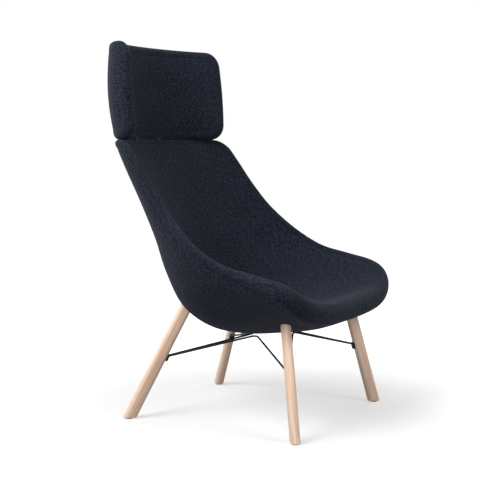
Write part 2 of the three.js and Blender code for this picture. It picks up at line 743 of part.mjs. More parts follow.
function stayPlan(sign) {
  const plane = stayPlane(sign);
  const shellEnd = SHELL_TOP_HEIGHT - STAY_LENGTH_IN_SHELL;
  const shellTop = SHELL_TOP_HEIGHT - BACK_THICKNESS;
  const lower = stayRun(plane, shellCoreSheet, shellEnd, shellTop);
  const headHeights = stayFaceShares.map((share) => headLow + share * HEAD_HEIGHT);
  const upper = stayRun(plane, headCoreSheet, ...headHeights);
  const neckRise = SHELL_TOP_HEIGHT - STAY_NECK_DROP - lower.low.y;
  const neckLow = lower.low.clone().addScaledVector(lower.along, neckRise / lower.along.y);
  const heel = coreFace(plane, headCoreSheet, headLow + 2 * HEAD_EDGE_HALF_THICKNESS);
  const neckHigh = new THREE.Vector2(heel.x - STAY_NECK_ROOM, headLow + HEAD_EDGE_HALF_THICKNESS / 2);
  const top = upper.low.clone().addScaledVector(upper.along, STAY_LENGTH_OVER_BEND);
  const corners = [lower.low, neckLow, neckHigh, upper.low, top].map(plane.toSpace);
  const path = bentPath(corners, STAY_BEND_REACH);
  const bolts = [];
  for (const [run, end, towards] of [[lower, lower.low, 1], [upper, top, -1]]) {
    for (const distance of [BOLT_END_DISTANCE, BOLT_END_DISTANCE + BOLT_PITCH]) {
      const at = plane.toSpace(end.clone().addScaledVector(run.along, towards * distance));
      bolts.push({ at, front: plane.direction(run.front) });
    }
  }
  return { path, across: plane.across, bolts };
}

// Bar of a stay with room added in front of it, behind it and round its edges
function stayGeometry(plan, frontRoom, backRoom, gap) {
  const front = STAY_THICKNESS / 2 + frontRoom;
  const back = STAY_THICKNESS / 2 + backRoom;
  const side = STAY_WIDTH / 2 + gap;
  const outline = [[front, side], [-back, side], [-back, -side], [front, -side]];
  return barGeometry(lengthened(plan.path, gap), plan.across, outline);
}

// Bolt of a stay, heights measured from the middle of the bar towards the front
function boltGeometry(bolt, gap) {
  const face = STAY_THICKNESS / 2 + FIT_GAP;
  const tip = face - BOLT_LENGTH - gap;
  const top = face + BOLT_HEAD_HEIGHT + gap;
  const radius = BOLT_RADIUS + gap;
  const headRadius = BOLT_HEAD_RADIUS + gap;
  const under = face - gap;
  const shank = [[0, tip], [radius, tip], [radius, under]];
  const head = [[headRadius, under], [headRadius, top], [0, top]];
  return turnedGeometry([...shank, ...head], bolt.at, bolt.front);
}

const stays = [["left", -1], ["right", 1]].map(([side, sign]) => ({ side, ...stayPlan(sign) }));
const stayChannels = stays.map((stay) => solidOf(
  stayGeometry(stay, BOLT_HEAD_HEIGHT + STAY_CLEARANCE, STAY_BACK_ROOM, FIT_GAP),
));
const boltHoles = stays.flatMap((stay) => stay.bolts).map((bolt) => (
  solidOf(boltGeometry(bolt, FIT_GAP))
));

function buildStay(stay) {
  const bar = cut(stayGeometry(stay, 0, 0, 0), stay.bolts.map((bolt) => (
    rodSolid(bolt.at, bolt.front, BOLT_RADIUS + FIT_GAP, -STAY_THICKNESS, STAY_THICKNESS)
  )));
  addMesh(`headrest_stay_${stay.side}`, bar, BLACK_STEEL);
  stay.bolts.forEach((bolt, i) => {
    addMesh(`stay_bolt_${stay.side}_${i + 1}`, boltGeometry(bolt, 0), ZINC);
  });
}

function buildShell() {
  const pad = padGeometry(shellGrid, shellBuild);
  addMesh("shell_outer_cover", cut(shellCoverSheet, insertHoles), FABRIC);
  addMesh("shell_core", cut(shellCoreSheet, [...insertHoles, ...boltHoles]), PLYWOOD);
  addMesh("shell_inner_pad", cut(pad, [...insertHoles, ...stayChannels]), FABRIC);
}

function buildHeadrest() {
  const pad = padGeometry(headGrid, headBuild);
  addMesh("headrest_back_cover", headCoverSheet, FABRIC);
  addMesh("headrest_core", cut(headCoreSheet, boltHoles), PLYWOOD);
  addMesh("headrest_front_pad", cut(pad, stayChannels), FABRIC);
}

buildShell();
buildHeadrest();
stays.forEach(buildStay);
for (const leg of legs) {
  const places = studPlaces(leg);
  buildLeg(leg, places);
  buildGlide(leg);
  buildStud(leg, places);
  buildClip(leg);
}
buildRods();

// Origin under the middle of the whole chair
const bounds = new THREE.Box3().setFromObject(chair);
chair.position.y = -(bounds.min.y + bounds.max.y) / 2;

const model = new THREE.Group();
model.add(chair);

export default model;
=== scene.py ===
"""High back lounge chair: wool upholstery, beech legs and a black steel brace, built around
the packed CAD model. Lengths are in metres, +Z is up and the front of the seat faces -Y."""
import json
import math
from collections import namedtuple

import bmesh
import bpy
import numpy as np
from bpy.props import FloatProperty, FloatVectorProperty, PointerProperty
from mathutils import Matrix, Vector
from mathutils.bvhtree import BVHTree


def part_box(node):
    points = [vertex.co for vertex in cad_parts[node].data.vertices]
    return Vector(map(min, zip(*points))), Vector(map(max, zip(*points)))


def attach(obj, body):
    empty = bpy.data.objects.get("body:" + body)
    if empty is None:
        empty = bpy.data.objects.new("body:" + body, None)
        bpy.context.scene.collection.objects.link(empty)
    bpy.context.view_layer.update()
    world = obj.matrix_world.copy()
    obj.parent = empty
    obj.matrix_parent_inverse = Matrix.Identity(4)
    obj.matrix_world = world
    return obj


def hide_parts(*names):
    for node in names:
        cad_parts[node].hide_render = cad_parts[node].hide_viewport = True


bl_info = {
    "name": "High Back Lounge Chair",
    "version": (1, 0, 0),
    "blender": (4, 5, 0),
    "location": "3D View > Sidebar > Lounge Chair",
    "description": "Builds the upholstery, legs, brace and stage of a high back lounge chair",
    "category": "Add Mesh",
}

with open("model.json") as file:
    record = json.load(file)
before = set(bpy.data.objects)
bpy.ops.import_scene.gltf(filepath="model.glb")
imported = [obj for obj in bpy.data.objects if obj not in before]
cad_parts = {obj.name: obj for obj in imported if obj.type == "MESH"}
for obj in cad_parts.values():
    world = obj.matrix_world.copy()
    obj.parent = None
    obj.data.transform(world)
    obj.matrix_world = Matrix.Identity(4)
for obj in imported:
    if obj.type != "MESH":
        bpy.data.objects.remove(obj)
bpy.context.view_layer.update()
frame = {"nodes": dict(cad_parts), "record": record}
MM = 0.001
BODY = "root"

SIDES = (("left", -1), ("right", 1))
LEG_NAMES = [f"{end}_{side}" for end in ("front", "rear") for side, _ in SIDES]


def length(name, description, millimetres):
    """Length that a user may change, shown in the scene's own unit."""
    return FloatProperty(name=name, description=description, default=millimetres * MM,
                         min=0.0, unit="LENGTH", subtype="DISTANCE")


def share(name, description, value):
    """Number without a unit."""
    return FloatProperty(name=name, description=description, default=value)


def linear(text):
    """Linear colour of an sRGB hex text."""
    parts = [int(text[i:i + 2], 16) / 255 for i in (1, 3, 5)]
    parts = [c / 12.92 if c <= 0.04045 else ((c + 0.055) / 1.055) ** 2.4 for c in parts]
    return (*parts, 1.0)


def colour(name, description, text):
    """Colour from an sRGB hex text."""
    return FloatVectorProperty(name=name, description=description, subtype="COLOR", size=4,
                               min=0.0, max=1.0, default=linear(text))


class LoungeShellSizes(bpy.types.PropertyGroup):
    """Sizes of the scooped shell, to its middle line."""
    half_width: length("Half width", "Middle to the widest rim", 351)
    reach: length("Reach", "Middle to the top of the back, lengthways", 400)
    low_height: length("Low height", "Height that the height shares start from", 268)
    top_height: length("Top height", "Height of the back's top edge", 852)
    rim_half: length("Rim half thickness", "Radius of the rolled rim", 12.5)
    nose_half: length("Front half thickness", "Half the thickness of the front edge", 34)
    nose_round: length("Front rounding", "How far the front edge swells forwards", 30)
    back_thickness: length("Back thickness", "Thickness in the middle of the back", 62)
    seat_thickness: length("Seat thickness", "Thickness in the middle of the seat", 92)
    cover_thickness: length("Cover thickness", "Outer cover with its foam", 8)
    core_thickness: length("Core thickness", "Moulded plywood", 10)
    seam_inset: length("Seam inset", "Edge of the rim roll to the seam", 12)
    seam_depth: length("Seam depth", "How deep the seam draws the cover in", 5)
    seam_reach: length("Seam reach", "How far from the seam the cover is drawn in", 20)
    corner_seam_depth: length("Top seam depth", "Seam depth at the top of the back", 1.2)
    unevenness: length("Unevenness", "How far hand-pulled cloth swells and sinks", 0.5)


class LoungeHeadrestSizes(bpy.types.PropertyGroup):
    """Sizes of the wrap-round headrest."""
    rise: length("Rise", "Shell's top line to the headrest's low edge", 14)
    setback: length("Setback", "Shell's top line to the headrest's middle", 28)
    height: length("Height", "Over the padding, at the wings' ends", 298)
    top_rise: length("Top rise", "How much higher the middle of the top edge is", 7)
    half_width: length("Half width", "To the middle line of the wings", 267)
    depth: length("Depth", "How deep the wings reach round the head", 146)
    edge_half: length("Edge half thickness", "Radius of the rolled edge", 20)
    low_swell: length("Low edge swell", "How much fuller the low edge is", 2.8)
    middle_thickness: length("Middle thickness", "Thickness in the middle", 55)
    cover_thickness: length("Cover thickness", "Back cover with its foam", 9)
    core_thickness: length("Core thickness", "Moulded plywood", 9)
    bulge: length("Bulge", "How far the middle height stands out", 11)
    back_lean: share("Back lean", "Slope of the middle", 0.03)
    wing_lean: share("Wing lean", "Slope of the wings' ends", 0.085)
    seam_depth: length("Seam depth", "How deep the seam draws the cover in", 0.6)
    sweep: FloatProperty(name="Sweep", description="Turn from the middle to a wing's end",
                         default=math.radians(85), unit="ROTATION", subtype="ANGLE")


class LoungeLegSizes(bpy.types.PropertyGroup):
    """Sizes of the legs and of the felt glides under them."""
    front_spread: length("Front half spread", "Middle to a front foot, sideways", 298.5)
    rear_spread: length("Rear half spread", "Middle to a rear foot, sideways", 279.5)
    reach: length("Foot reach", "Middle to a foot, lengthways", 291.5)
    depth: length("Depth", "Section towards the middle of the chair", 38)
    width: length("Width", "Section across", 27)
    rounding: length("Rounding", "Radius of the long edges", 12.4)
    socket: length("Socket", "Leg's height above the cover that is cut away", 24)
    glide_radius: length("Glide radius", "Felt glide", 10)
    glide_height: length("Glide height", "Felt glide", 3)
    glide_bevel: length("Glide bevel", "Edges of a felt glide", 0.6)
    foot_bevel: length("Foot bevel", "Edge of a foot's underside", 1.2)
    stud_bore_radius: length("Stud bore radius", "Bore for the hanger bolt and its sleeve", 4.3)
    stud_bore_depth: length("Stud bore depth", "Bore from the leg's top", 46)
    screw_bore_reach: length("Screw bore reach", "Half the clip screw's bore in the leg", 14)


class LoungeBraceSizes(bpy.types.PropertyGroup):
    """Sizes of the steel rods, their clips and the screws."""
    rod_radius: length("Rod radius", "Round steel rod", 3)
    bend_reach: length("Bend reach", "Straight rod to the corner of a bend", 16)
    rod_seat: length("Rod seat", "How deep a rod sits in a clip", 5)
    rod_spacing: length("Rod spacing", "Between the rods in a clip", 7.6)
    apex_clearance: length("Apex clearance", "Between a rod's bend and the cover", 1.5)
    clip_height: length("Clip height", "Middle of the clips over the floor", 197)
    clip_width: length("Clip width", "Across the leg", 17)
    clip_length: length("Clip length", "Along the leg", 23)
    clip_thickness: length("Clip thickness", "From the seat in the leg", 7)
    clip_seat: length("Clip seat", "Depth of the flat in the leg", 2)
    clip_rounding: length("Clip rounding", "Corners of a clip", 5)
    clip_bevel: length("Clip bevel", "Edge round a clip's face", 1.2)
    rod_bore: length("Rod bore", "How far a clip's bore follows its rod", 20)
    rod_rise: length("Rod rise", "Clip's middle to the rods", 5)
    screw_drop: length("Screw drop", "Clip's middle to the screw", 6)
    screw_radius: length("Screw radius", "Shank of the clip screw", 1.8)
    screw_length: length("Screw length", "Shank of the clip screw", 20)
    head_radius: length("Screw head radius", "Round head", 3.2)
    head_height: length("Screw head height", "Round head", 1.8)
    head_bevel: length("Screw head bevel", "Edge of the round head", 0.7)
    socket_radius: length("Screw socket radius", "Six-sided socket", 1.3)
    socket_depth: length("Screw socket depth", "Six-sided socket", 1.1)


class LoungeFinishes(bpy.types.PropertyGroup):
    """Colours of the materials."""
    wool_dark: colour("Wool, dark yarn", "Blue-black yarn", "#0f121a")
    wool_light: colour("Wool, light yarn", "Slate yarn between the dark", "#2b303c")
    beech_light: colour("Beech, light", "Early wood", "#f7dcc5")
    beech_dark: colour("Beech, dark", "Late wood and flecks", "#e2b595")
    ply_face: colour("Plywood", "Bare beech veneer", "#b89b72")
    steel_black: colour("Powder coat", "Black brace and stays", "#0d0e10")
    zinc: colour("Zinc plate", "Bolts and sleeves", "#a9adb2")
    felt: colour("Felt", "Glides under the feet", "#6e6a66")
    floor: colour("Floor", "Light that the pale studio floor gives back", "#787878")


GROUPS = {
    "lounge_shell": LoungeShellSizes,
    "lounge_headrest": LoungeHeadrestSizes,
    "lounge_legs": LoungeLegSizes,
    "lounge_brace": LoungeBraceSizes,
    "lounge_finishes": LoungeFinishes,
}

# Middle line of the shell from the top of the back to the front edge: y and z shares
SPINE_SHARES = (
    (1.0, 1.0), (0.81, 0.71), (0.65, 0.45), (0.556, 0.246), (0.438, 0.093),
    (0.235, 0.014), (0.0, 0.002), (-0.35, 0.045), (-0.6, 0.088), (-0.825, 0.15),
)

# Rim of the shell from the top corner, down the side to the front corner: x, y and z shares
RIM_SHARES = (
    (0.852, 0.715, 1.0), (0.87, 0.59, 0.88), (0.88, 0.453, 0.752), (0.907, 0.298, 0.624),
    (0.969, 0.093, 0.496), (0.993, -0.152, 0.398), (1.0, -0.4, 0.346), (1.002, -0.6, 0.306),
    (1.0, -0.76, 0.275), (0.98, -0.91, 0.215),
)

# Share of a quarter turn that a cross-section sweeps, from the top to the front
SWEEP_SHARES = ((0, 0.89), (0.35, 0.89), (0.55, 0.845), (0.75, 0.69), (1, 0.5))

# Stretches of the shell from top to front where its build changes
NOSE_SHARES = (0.6, 1.0)
SEAT_SHARES = (0.3, 0.6)
SEAM_RISE_SHARES = (0.03, 0.35)
SEAM_FADE_SHARES = (0.75, 0.95)

# Rounded corners and middles of the two panels, as shares of t and u
SHELL_CORNER_SHARES = (0.05, 0.85)
SHELL_FRONT_SHARE = 0.8
FRONT_SQUARENESS = 2.7
SHELL_CENTRE_SHARES = (0.6, 0.0)
HEAD_CORNER_SHARES = (0.13, 0.87)
HEAD_CENTRE_SHARES = (0.5, 0.0)
LOW_EDGE_SHARES = (0.85, 1.0)

# How far each leg leans inwards and lengthways for each unit of height
LEG_LEANS = {"front": (0.205, 0.1985), "rear": (0.2975, 0.419)}

# Bends of the brace rods under the shell, as shares of its half width and reach
ROD_PLANS = {
    "left": ("front_left", "rear_left", -0.222, -0.125),
    "right": ("front_right", "rear_right", 0.222, -0.125),
    "front": ("front_left", "front_right", 0.0, -0.345),
    "rear": ("rear_left", "rear_right", 0.0, 0.0),
}

# Points along half of each panel's outline
SHELL_POINTS = {"top": 26, "corner": 14, "side": 80, "front": 48}
HEAD_POINTS = {"top": 40, "corner": 16, "side": 16}

# How finely the panels are divided
PANEL_RINGS = 34
SEAM_RINGS = 14
FRONT_EDGE_RINGS = 5
ROLL_STEPS = 18
BEAD_STEPS = 9
HIDDEN_RING_STEP = 4
CURVE_SAMPLES = 3000
OUTLINE_SAMPLES = 12
WEAVE_SAMPLES = 48
SLOPE_STEP = 0.002

# Rings lie closer together beyond this share of the way to the seam
CLOSE_RINGS_START = 0.9
CLOSE_RINGS_POWER = 0.7

# Crown of the pads, and the share of a panel in which their unevenness fades at the edge
CROWN_POWER = 2.2
CROWN_START = 0.016
FADE_SHARE = 0.2

# Share of the seam's depth that is left at the front, and how the cover falls off to it
SEAM_REST_SHARE = 0.04
SEAM_FALL_POWER = 1.3
SEAM_FALL_RATE = 1.6
BEAD_BEND = 0.96
COVER_TURN_SHARE = 0.45

# Waves of hand-pulled cloth: height, then two sines with their turns for each metre of x, y
# and z and their starts
UNEVEN_WAVES = (
    (1.0, (23, 0, 9), 1.3, (0, -7, 19), 0.4),
    (0.6, (41, -17, 0), 2.1, (11, 0, 37), 0.0),
)

# Room between pieces that meet, how near a point counts as lying on a plane, and how far the
# cutter of a socket stands over its screw
FIT_GAP = 0.3 * MM
NEAR = 0.05 * MM
CUTTER_RISE = 2 * MM
TINY = 1e-8

# Sides and steps of the round pieces, the cut for a clip as a share of the leg's width, and
# how parallel or sharp an edge has to be
ROD_SIDES = 20
BEND_STEPS = 14
GLIDE_SIDES = 48
LEG_BORE_SIDES = 32
CLIP_BORE_SIDES = 24
SCREW_SIDES = 24
SOCKET_SIDES = 6
LEG_EDGE_SEGMENTS = 10
CLIP_CORNER_SEGMENTS = 6
SMALL_BEVEL_SEGMENTS = 3
GLIDE_BEVEL_SEGMENTS = 2
CLIP_CUT_SHARE = 1.2
PARALLEL = 0.9
SHARP = 1.0
MERGE = 0.01 * MM

# A wave texture of scale 1 repeats in this length
WAVE_REPEAT = 2 * math.pi / 20

# Weave of the wool, in metres
SLUB_LENGTH = 0.010
SLUB_HEIGHT = 0.0042
PEBBLE_WIDTH = 0.0052
THREAD_SPACING = 0.0013
PATCH_WIDTH = 1 / 11
TWIST_LENGTH = 1 / 240
TWIST_REACH = 0.0025

# Grain of the beech, in metres across the leg
RING_NOISE_WIDTH = 0.007
PORE_WIDTH = 0.0011
FLECK_WIDTH = 0.0032

# Camera from the foot of the chair's middle, and its lens in millimetres
CAMERA_PLACE = (-3.06505, -1.62769, 0.85133)
CAMERA_AIM = (-0.0216, 0.0395, 0.5477)
CAMERA_LENS = 82.5
CAMERA_SENSOR = 36

# Soft square lamps: name, place and side in metres, and power in watts
LAMPS = (
    ("light_overhead", (-0.2, -0.1, 2.9), 1.5, 12),
    ("light_key", (-2.3, 0.75, 2.9), 1.6, 96),
    ("light_rear", (-1.9, 2.3, 2.6), 1.6, 34),
    ("light_front", (-0.3, -2.4, 1.8), 1.2, 26),
    ("light_left", (-3.0, -1.6, 0.8), 1.5, 29),
    ("light_right", (2.7, -0.4, 1.1), 1.6, 24),
    ("light_behind", (0.9, 2.9, 1.5), 1.6, 26),
)
LAMP_AIM = (0, 0, 0.45)
WORLD_LIGHT = 0.05
FLOOR_SIZE = 24

# Grey of the floor where the eye sees it, and its own glow: strength near the chair, and the
# distances in metres between which it rises to white
FLOOR_SEEN_GREY = 0.44
GLOW_NEAR = 0.51
GLOW_START = 0.4
GLOW_END = 1.3

UP = Vector((0, 0, 1))
Leg = namedtuple("Leg", "foot axis inward tangent")
Pole = namedtuple("Pole", "place normal t weave")


def feet_middle():
    """Lengthways place of the feet's middle in the frame."""
    boxes = [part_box(f"foot_glide_{name}") for name in LEG_NAMES]
    return sum(low.y + high.y for low, high in boxes) / (2 * len(boxes))


SHIFT = Vector((0.0, feet_middle(), 0.0))


def smooth(t):
    """Step that eases from 0 to 1."""
    t = np.clip(t, 0.0, 1.0)
    return t * t * (3 - 2 * t)


def eased(t, stretch, low, high):
    """Value that eases from low to high over a stretch."""
    return low + (high - low) * smooth((t - stretch[0]) / (stretch[1] - stretch[0]))


def share_at(shares, t):
    """Value at t on a line of (t, value) shares, eased between them."""
    value = np.full(np.shape(t), float(shares[0][1]))
    for (t0, v0), (t1, v1) in zip(shares, shares[1:]):
        value = value + eased(t, (t0, t1), 0.0, v1 - v0)
    return value


def unit(vectors):
    """Vectors of length one."""
    return vectors / np.linalg.norm(vectors, axis=-1, keepdims=True)


def lengths(vectors):
    """Length of each vector."""
    return np.linalg.norm(vectors, axis=-1)


def columns(*parts):
    """Arrays joined along a new last axis."""
    return np.stack(parts, axis=-1)


def run_along(points):
    """Length of a line of points up to each of them."""
    return np.concatenate([[0], np.cumsum(lengths(np.diff(points, axis=0)))])


def curve_through(points):
    """Smooth curve through points, read by its share of arc length."""
    p = np.array(points, float)
    p = np.vstack([2 * p[0] - p[1], p, 2 * p[-1] - p[-2]])
    spans = len(points) - 1
    samples = []
    for i in range(spans):
        p0, p1, p2, p3 = p[i:i + 4]
        d0, d1, d2 = (math.sqrt(np.linalg.norm(b - a)) for a, b in ((p0, p1), (p1, p2), (p2, p3)))
        m1 = ((p1 - p0) / d0 - (p2 - p0) / (d0 + d1) + (p2 - p1) / d1) * d1
        m2 = ((p2 - p1) / d1 - (p3 - p1) / (d1 + d2) + (p3 - p2) / d2) * d1
        w = np.linspace(0, 1, CURVE_SAMPLES // spans, endpoint=i == spans - 1)[:, None]
        c2 = -3 * p1 + 3 * p2 - 2 * m1 - m2
        c3 = 2 * p1 - 2 * p2 + m1 + m2
        samples.append(p1 + w * m1 + w ** 2 * c2 + w ** 3 * c3)
    line = np.vstack(samples)
    run = run_along(line)
    run /= run[-1]
    return lambda t: columns(*(np.interp(t, run, part) for part in line.T))


def shell_surface(sizes):
    """Middle surface of the shell: t from top to front, u from -1 to 1 across."""
    def height(z):
        return sizes.low_height + (sizes.top_height - sizes.low_height) * z

    spine = curve_through([(0, y * sizes.reach, height(z)) for y, z in SPINE_SHARES])
    rim = curve_through([(x * sizes.half_width, y * sizes.reach, height(z))
                         for x, y, z in RIM_SHARES])

    def point(t, u):
        t = np.clip(t, 0, 1)
        centre, edge = spine(t), rim(t)
        sweep = share_at(SWEEP_SHARES, t) * math.pi / 2
        side = np.sin(sweep * u) / np.sin(sweep)
        rise = (1 - np.cos(sweep * u)) / (1 - np.cos(sweep))
        x = edge[..., 0] * side
        y, z = (centre[..., k] + (edge[..., k] - centre[..., k]) * rise for k in (1, 2))
        return columns(x, y + SHIFT.y, z)

    return point


def headrest_surface(sizes, shell):
    """Middle surface of the headrest: t from top to bottom, u from -1 to 1 across."""
    low = shell.top_height + sizes.rise
    top = low + sizes.height - sizes.edge_half
    bottom = low + sizes.edge_half
    wing_reach = shell.reach + sizes.setback - sizes.depth

    def point(t, u):
        crest = top + sizes.top_rise * (1 - u * u)
        z = crest + (bottom - crest) * t
        bulge = sizes.bulge * np.sin(math.pi * np.clip(t, 0, 1))
        lean = sizes.back_lean + (sizes.wing_lean - sizes.back_lean) * u * u
        y = wing_reach + (sizes.depth + bulge) * np.cos(sizes.sweep * u)
        y = y + lean * (z - (top + bottom) / 2)
        return columns((sizes.half_width + bulge) * np.sin(sizes.sweep * u), y + SHIFT.y, z)

    return point


def top_steps(u0, steps):
    """Straight edge from the middle to where the corner starts, in t and u."""
    return columns(np.zeros(steps), u0 * np.arange(steps) / steps)


def corner_steps(corner, steps):
    """Quarter of an ellipse from the top edge to the side, in t and u."""
    a = np.arange(steps) / steps * math.pi / 2
    t0, u0 = corner
    return columns(t0 * (1 - np.cos(a)), u0 + (1 - u0) * np.sin(a))


def side_steps(start, end, steps):
    """Straight edge down the side, in t and u."""
    side = np.linspace(start, end, steps, endpoint=False)
    return columns(side, np.ones(steps))


def mirrored(half):
    """Full outline from the points of one half, from the middle of the top edge."""
    return np.vstack([half, half[-2:0:-1] * (1, -1)])


def shell_outline():
    """Outline of the shell in t and u."""
    t0, u0 = SHELL_CORNER_SHARES
    top = top_steps(u0, SHELL_POINTS["top"])
    corner = corner_steps((t0, u0), SHELL_POINTS["corner"])
    side = side_steps(t0, SHELL_FRONT_SHARE, SHELL_POINTS["side"])
    a = np.linspace(0, math.pi / 2, SHELL_POINTS["front"])
    power = 2 / FRONT_SQUARENESS
    t = SHELL_FRONT_SHARE + (1 - SHELL_FRONT_SHARE) * np.sin(a) ** power
    u = np.abs(np.cos(a)) ** power
    u[-1] = 0
    return mirrored(np.vstack([top, corner, side, columns(t, u)]))


def headrest_outline():
    """Outline of the headrest in t and u."""
    t0, u0 = HEAD_CORNER_SHARES
    top = top_steps(u0, HEAD_POINTS["top"])
    corner = corner_steps((t0, u0), HEAD_POINTS["corner"])
    side = side_steps(t0, 1 - t0, HEAD_POINTS["side"])
    low_corner = np.vstack([[t0, 1.0], corner[::-1]]) * (-1, 1) + (1, 0)
    low = top[::-1] + (1, 0)
    return mirrored(np.vstack([top, corner, side, low_corner, low]))


def resampled(outline, point):
    """Outline with its points evenly spaced in the real surface."""
    closed = np.vstack([outline, outline[:1]])
    fine = np.vstack([a + (b - a) * w for a, b in zip(closed, closed[1:])
                      for w in np.linspace(0, 1, OUTLINE_SAMPLES, endpoint=False)[:, None]])
    fine = np.vstack([fine, fine[:1]])
    place = point(fine[:, 0], fine[:, 1])
    run = run_along(place)
    at = np.linspace(0, run[-1], len(outline), endpoint=False)
    return columns(*(np.interp(at, run, part) for part in fine.T))


def slopes(point, t, u):
    """Directions of t and u in space and the normal that points out of the chair."""
    low_t, high_t = np.maximum(t - SLOPE_STEP, 0), np.minimum(t + SLOPE_STEP, 1)
    along = (point(high_t, u) - point(low_t, u)) / (high_t - low_t)[..., None]
    across = (point(t, u + SLOPE_STEP) - point(t, u - SLOPE_STEP)) / (2 * SLOPE_STEP)
    return along, across, unit(np.cross(across, along))


def stepped(along, across, move):
    """Change of t and u that gives a small move in the surface."""
    aa, ab, bb = (along * along).sum(-1), (along * across).sum(-1), (across * across).sum(-1)
    ma, mb = (move * along).sum(-1), (move * across).sum(-1)
    det = aa * bb - ab * ab
    return columns((ma * bb - mb * ab) / det, (mb * aa - ma * ab) / det)


def weave_place(point, t, u):
    """Warp and weft coordinates: real lengths across and along the surface."""
    w = (np.arange(WEAVE_SAMPLES) + 0.5) / WEAVE_SAMPLES
    same_t, same_u = (np.repeat(part[..., None], WEAVE_SAMPLES, -1) for part in (t, u))
    _, across, _ = slopes(point, same_t, u[..., None] * w)
    mid = 0.5
    along, _, _ = slopes(point, mid + (t[..., None] - mid) * w, same_u)
    return columns(lengths(across).mean(-1) * u, lengths(along).mean(-1) * (t - mid))


def soft_distance(places, edge):
    """Distance to a closed edge, without a ridge where two sides are equally near."""
    spans = lengths(np.roll(edge, -1, 0) - np.roll(edge, 1, 0)) / 2
    total = np.zeros(places.shape[:-1])
    for spot, span in zip(edge, spans):
        gap = ((places - spot) ** 2).sum(-1)
        total += span / np.maximum(gap, TINY) ** 2
    return (total * 2 / math.pi) ** (-1 / 3)


def crown_share(panel, rings):
    """How much of the crown stands at each place: none at the edge, all in the middle."""
    reach = panel.from_edge[:, rings] / panel.from_edge.max()
    return (1 - (1 - reach) ** CROWN_POWER) * smooth(panel.from_edge[:, rings] / CROWN_START)


class Panel:
    """Rings of places round a centre on a middle surface, from the centre to the edge."""

    def __init__(self, point, outline, centre, seam_inset):
        edge = resampled(outline, point)
        along, across, normal = slopes(point, edge[:, 0], edge[:, 1])
        place = point(edge[:, 0], edge[:, 1])
        tangent = unit(np.roll(place, -1, 0) - np.roll(place, 1, 0))
        out = unit(np.cross(tangent, normal))
        middle = point(np.array(centre[0]), np.array(centre[1]))
        out = out * np.sign(((place - middle) * out).sum(-1, keepdims=True))
        seam = edge + stepped(along, across, -out * seam_inset)
        centre = np.array(centre, float)
        inner = 1 - seam_inset / lengths(place - middle)
        close = smooth(np.linspace(0, 1, SEAM_RINGS)) ** CLOSE_RINGS_POWER
        rings = np.concatenate([np.linspace(0, CLOSE_RINGS_START, PANEL_RINGS, endpoint=False)[1:],
                                CLOSE_RINGS_START + (1 - CLOSE_RINGS_START) * close])
        spots = [centre + (seam - centre)[:, None] * rings[None, :, None]]
        reach = [inner[:, None] * rings[None, :]]
        for k in range(1, FRONT_EDGE_RINGS + 1):
            w = k / FRONT_EDGE_RINGS
            spots.append((seam + (edge - seam) * w)[:, None])
            reach.append((inner + (1 - inner) * w)[:, None])
        spots = np.concatenate(spots, axis=1)
        # Share of the way from the pole to the edge
        self.reach = np.concatenate(reach, axis=1)
        self.t, self.u = spots[..., 0], spots[..., 1]
        self.seam_ring = len(rings) - 1
        self.place = point(self.t, self.u)
        self.normal = slopes(point, self.t, self.u)[2]
        self.weave = weave_place(point, self.t, self.u)
        seam_place = self.place[:, self.seam_ring]
        self.from_edge = soft_distance(self.place, self.place[:, -1])
        self.from_seam = np.maximum(self.from_edge - seam_inset, 0)
        edge_place, edge_normal = self.place[:, -1], self.normal[:, -1]
        self.out = edge_place - seam_place
        self.out -= (self.out * edge_normal).sum(-1, keepdims=True) * edge_normal
        self.out = unit(self.out)
        self.weave_out = unit(self.weave[:, -1] - self.weave[:, self.seam_ring])
        self.pole = Pole(middle, slopes(point, centre[:1], centre[1:])[2][0], np.array(centre[0]),
                         weave_place(point, centre[:1], centre[1:])[0])

    def lifted(self, rings, height):
        """Places over the middle surface, with their weave coordinates."""
        place = self.place[:, rings] + self.normal[:, rings] * height[..., None]
        return place, self.weave[:, rings]

    def top(self, height):
        """Place over the pole."""
        return self.pole.place + self.pole.normal * height


def mesh_piece(name, layers, first, last):
    """Closed mesh from rings of points between two poles, with a weave map in metres.
    Each layer is (points, weave coordinates), with one column for each ring."""
    points, weave = (np.concatenate(part, axis=1) for part in zip(*layers))
    count, rings = points.shape[:2]
    verts = np.vstack([first[0][None], points.reshape(-1, 3), last[0][None]])
    maps = np.vstack([first[1][None], weave.reshape(-1, 2), last[1][None]])
    faces = []
    for j in range(count):
        a, b = 1 + j * rings, 1 + (j + 1) % count * rings
        faces.append((0, a, b))
        faces.extend((a + k, a + k + 1, b + k + 1, b + k) for k in range(rings - 1))
        faces.append((a + rings - 1, len(verts) - 1, b + rings - 1))
    mesh = bpy.data.meshes.new(name)
    mesh.from_pydata(verts.tolist(), [], faces)
    layer = mesh.uv_layers.new(name="weave")
    loops = np.zeros(len(mesh.loops), int)
    mesh.loops.foreach_get("vertex_index", loops)
    layer.data.foreach_set("uv", maps[loops].astype(np.float32).ravel())
    mesh.shade_smooth()
    piece = bpy.data.objects.new(name, mesh)
    bpy.context.scene.collection.objects.link(piece)
    tidy_normals(piece)
    return piece


def tidy_normals(piece):
    """Faces of a closed piece turned outwards."""
    bm = bmesh.new()
    bm.from_mesh(piece.data)
    bmesh.ops.recalc_face_normals(bm, faces=bm.faces)
    if bm.calc_volume(signed=True) < 0:
        bmesh.ops.reverse_faces(bm, faces=bm.faces)
    bm.to_mesh(piece.data)
    bm.free()


def handled(place, amplitude):
    """Slight unevenness of hand-pulled upholstery, smooth and the same at each run."""
    wave = 0.0
    for height, turns, start, cross_turns, cross_start in UNEVEN_WAVES:
        wave = wave + height * (np.sin(place @ np.array(turns) + start)
                                * np.sin(place @ np.array(cross_turns) + cross_start))
    return amplitude * wave


